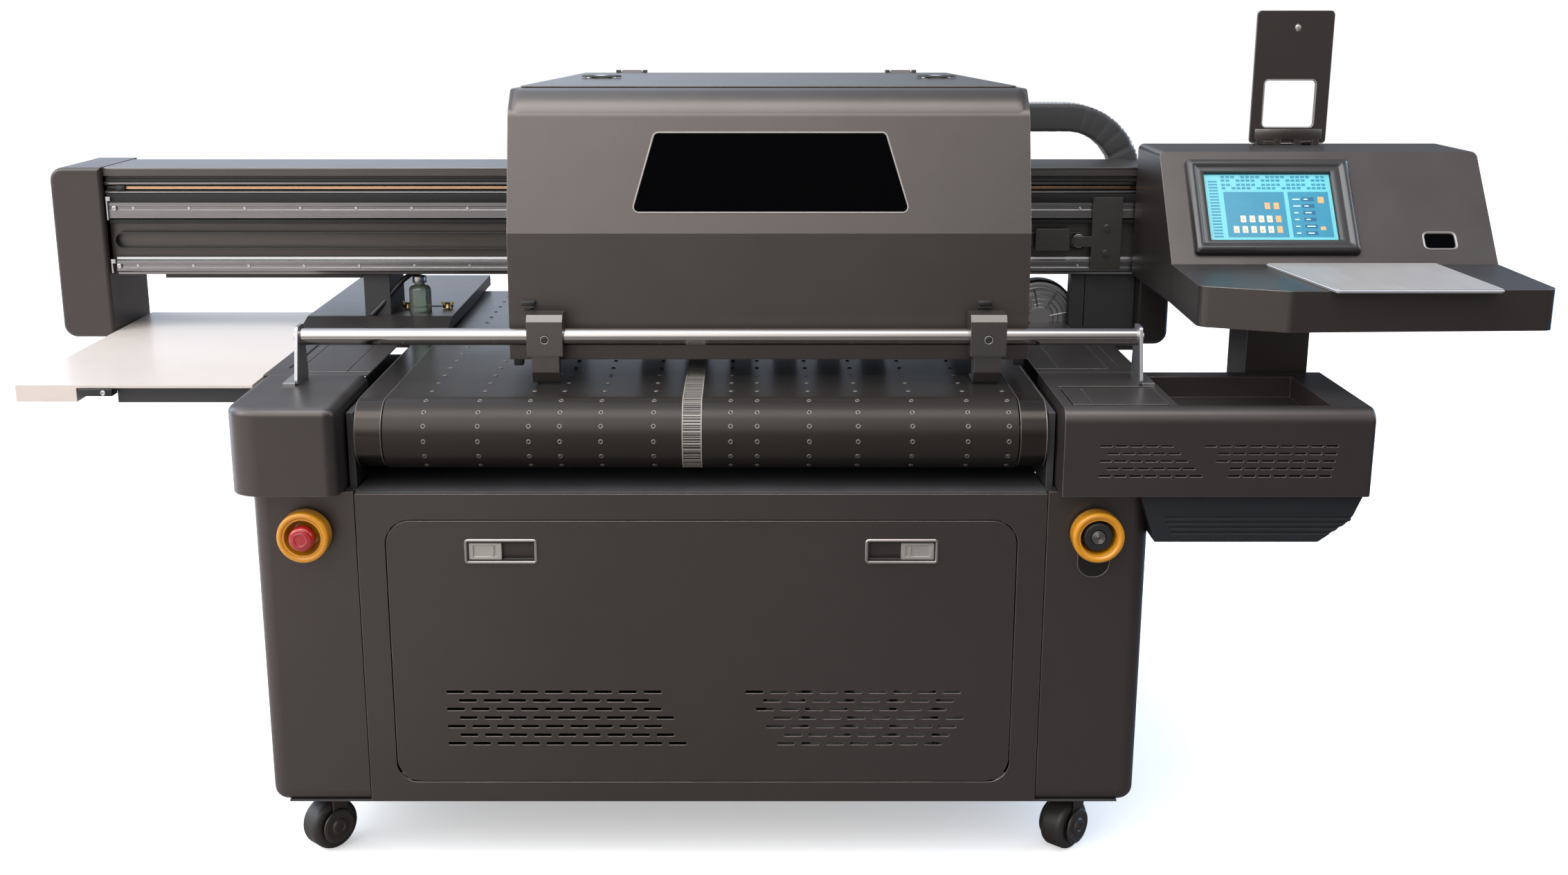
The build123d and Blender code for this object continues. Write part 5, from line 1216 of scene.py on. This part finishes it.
guard = bmesh.new()
for radius in (20.0, 31.0, 42.0, 53.0):
    tube_along(guard, [round_blower(radius, 2 * math.pi * n / 48, 784.0) for n in range(49)], 0.0012, 8)
for n in range(8):
    angle = 2 * math.pi * n / 8 + 0.2
    tube_along(guard, [round_blower(radius, angle, 783.0) for radius in (10.0, 36.0, 66.0)], 0.0013, 8)
turned_on(guard, at(BLOWER_X, 785.4, BLOWER_Z), FRONTWARD,
          [(70.0, 0.0), (70.5, 2.2), (68.0, 3.4), (65.0, 3.0), (64.0, 0.6), (64.0, 0.0)], 48)
piece("blower_guard", guard, "zinc_steel", "machine")

# %% [markdown]
# Light must not leak through the gaps beside the belt or through the arm's slots, so thin black sheets
# close them from inside; their black is painted shade for the dark inside of those gaps. The side table has a
# small clip with one bolt.

# %% Black sheets of painted shade in the gaps, and the table's clip
GAP_SHADE_ROWS = [((700.0, -45.7, 776.0), (1150.0, -45.2, 846.0), 0.0001)]
for x0, x1 in ((-644.0, -629.5), (629.5, 644.0)):
    GAP_SHADE_ROWS.append(((x0, 40.0, 756.0), (x1, 1230.0, 758.0), 0.0003))
bars("gap_shade_sheets", "shade_black", "machine", GAP_SHADE_ROWS)
bars("table_clip", "black_moulding", "machine",
     [((-1176.0, 166.0, 879.0), (-1112.0, 196.0, 893.0), 0.0015)])
spun("table_bolt", "zinc_steel", "machine", [at(-1128.0, 166.2, 886.0)], FRONTWARD,
     [(5.0, 0.0), (5.0, 3.0), (4.2, 4.0), (2.6, 4.0), (2.4, 2.2), (0.0, 2.2)], 20)

# %% [markdown]
# ### Casters
# The wheels are swivelled, so their hubs are turned pieces about each wheel's own axle. The axle's
# direction follows from how far the casters have turned.

# %% Caster hubs, cheeks and treads
CASTER_TURN = math.radians(137.0)
TRAIL = 22.0
WHEEL_RADIUS = 50.0
CASTERS = {"front_left": (-715.0, 93.0), "front_right": (715.0, 93.0), "rear_left": (-715.0, 1147.0),
           "rear_right": (715.0, 1147.0)}
HUB = [(31.6, 20.2), (31.0, 21.6), (27.0, 22.4), (25.0, 21.0), (16.0, 20.6), (13.5, 23.6), (12.5, 24.0),
       (9.0, 23.6), (6.2, 23.8), (6.0, 20.2)]
CHEEK = [(0.0, 29.7), (33.0, 29.7), (35.0, 31.0), (34.2, 33.6), (29.0, 35.0), (26.5, 34.0), (17.0, 34.4),
         (15.0, 37.4), (9.0, 38.0), (7.6, 36.4), (0.0, 36.6)]
RIB = [(49.3, -1.9), (49.98, -1.2), (49.98, 1.2), (49.3, 1.9)]
RIB_STEP = 5.4
axle = Vector((math.cos(CASTER_TURN), math.sin(CASTER_TURN), 0.0))
for name, (x, y) in CASTERS.items():
    hub_centre = at(x - TRAIL * math.sin(CASTER_TURN), y + TRAIL * math.cos(CASTER_TURN), WHEEL_RADIUS)
    hub = bmesh.new()
    cheeks = bmesh.new()
    for side in (-1, 1):
        turned_on(hub, hub_centre, axle * side, HUB, 36)
        turned_on(cheeks, hub_centre, axle * side, CHEEK, 36)
    piece(name + "_hub", hub, "caster_paint", name + "_wheel")
    piece(name + "_cheeks", cheeks, "caster_paint", name + "_fork")
    tread = bmesh.new()
    for n in (-2, -1, 0, 1, 2):
        turned_on(tread, hub_centre, axle, [(radius, RIB_STEP * n + along) for radius, along in RIB], 48)
    piece(name + "_tread", tread, "tyre_rubber", name + "_wheel")

# %% [markdown]
# ### The back
# Service staff see the back most. The rear sheet is held by dome screws, and the mains inlet has its
# socket, fuse drawer and rocker switch.

# %% Rear screws and inlet
REAR_FACE = 1243.0
places = [(x, z) for x in (-790, -530, -265, 0, 265, 530, 790) for z in (150.0, 716.0)]
places += [(x, z) for z in (290.0, 435.0, 580.0) for x in (-790, 790)]
spun("rear_screws", "zinc_steel", "machine", [at(x, REAR_FACE, z) for x, z in places], (0, 1, 0),
     [(5.2, 0.0), (4.9, 1.2), (3.6, 2.3), (2.2, 2.6), (1.8, 1.4), (0.0, 1.4)], 18)
bars("inlet_insert", "black_moulding", "machine",
     [((-653.0, 1226.0, 247.0), (-607.0, 1233.0, 283.0), 0.001),
      ((-618.0, 1233.0, 252.0), (-609.0, 1239.0, 278.0), 0.0012)])
PINS = ((-643.0, 262.0), (-629.0, 262.0), (-636.0, 271.0))
bars("inlet_pins", "brass_turned", "machine",
     [((x - 1.6, 1231.0, z - 3.0), (x + 1.6, REAR_FACE, z + 3.0), 0.0006) for x, z in PINS])
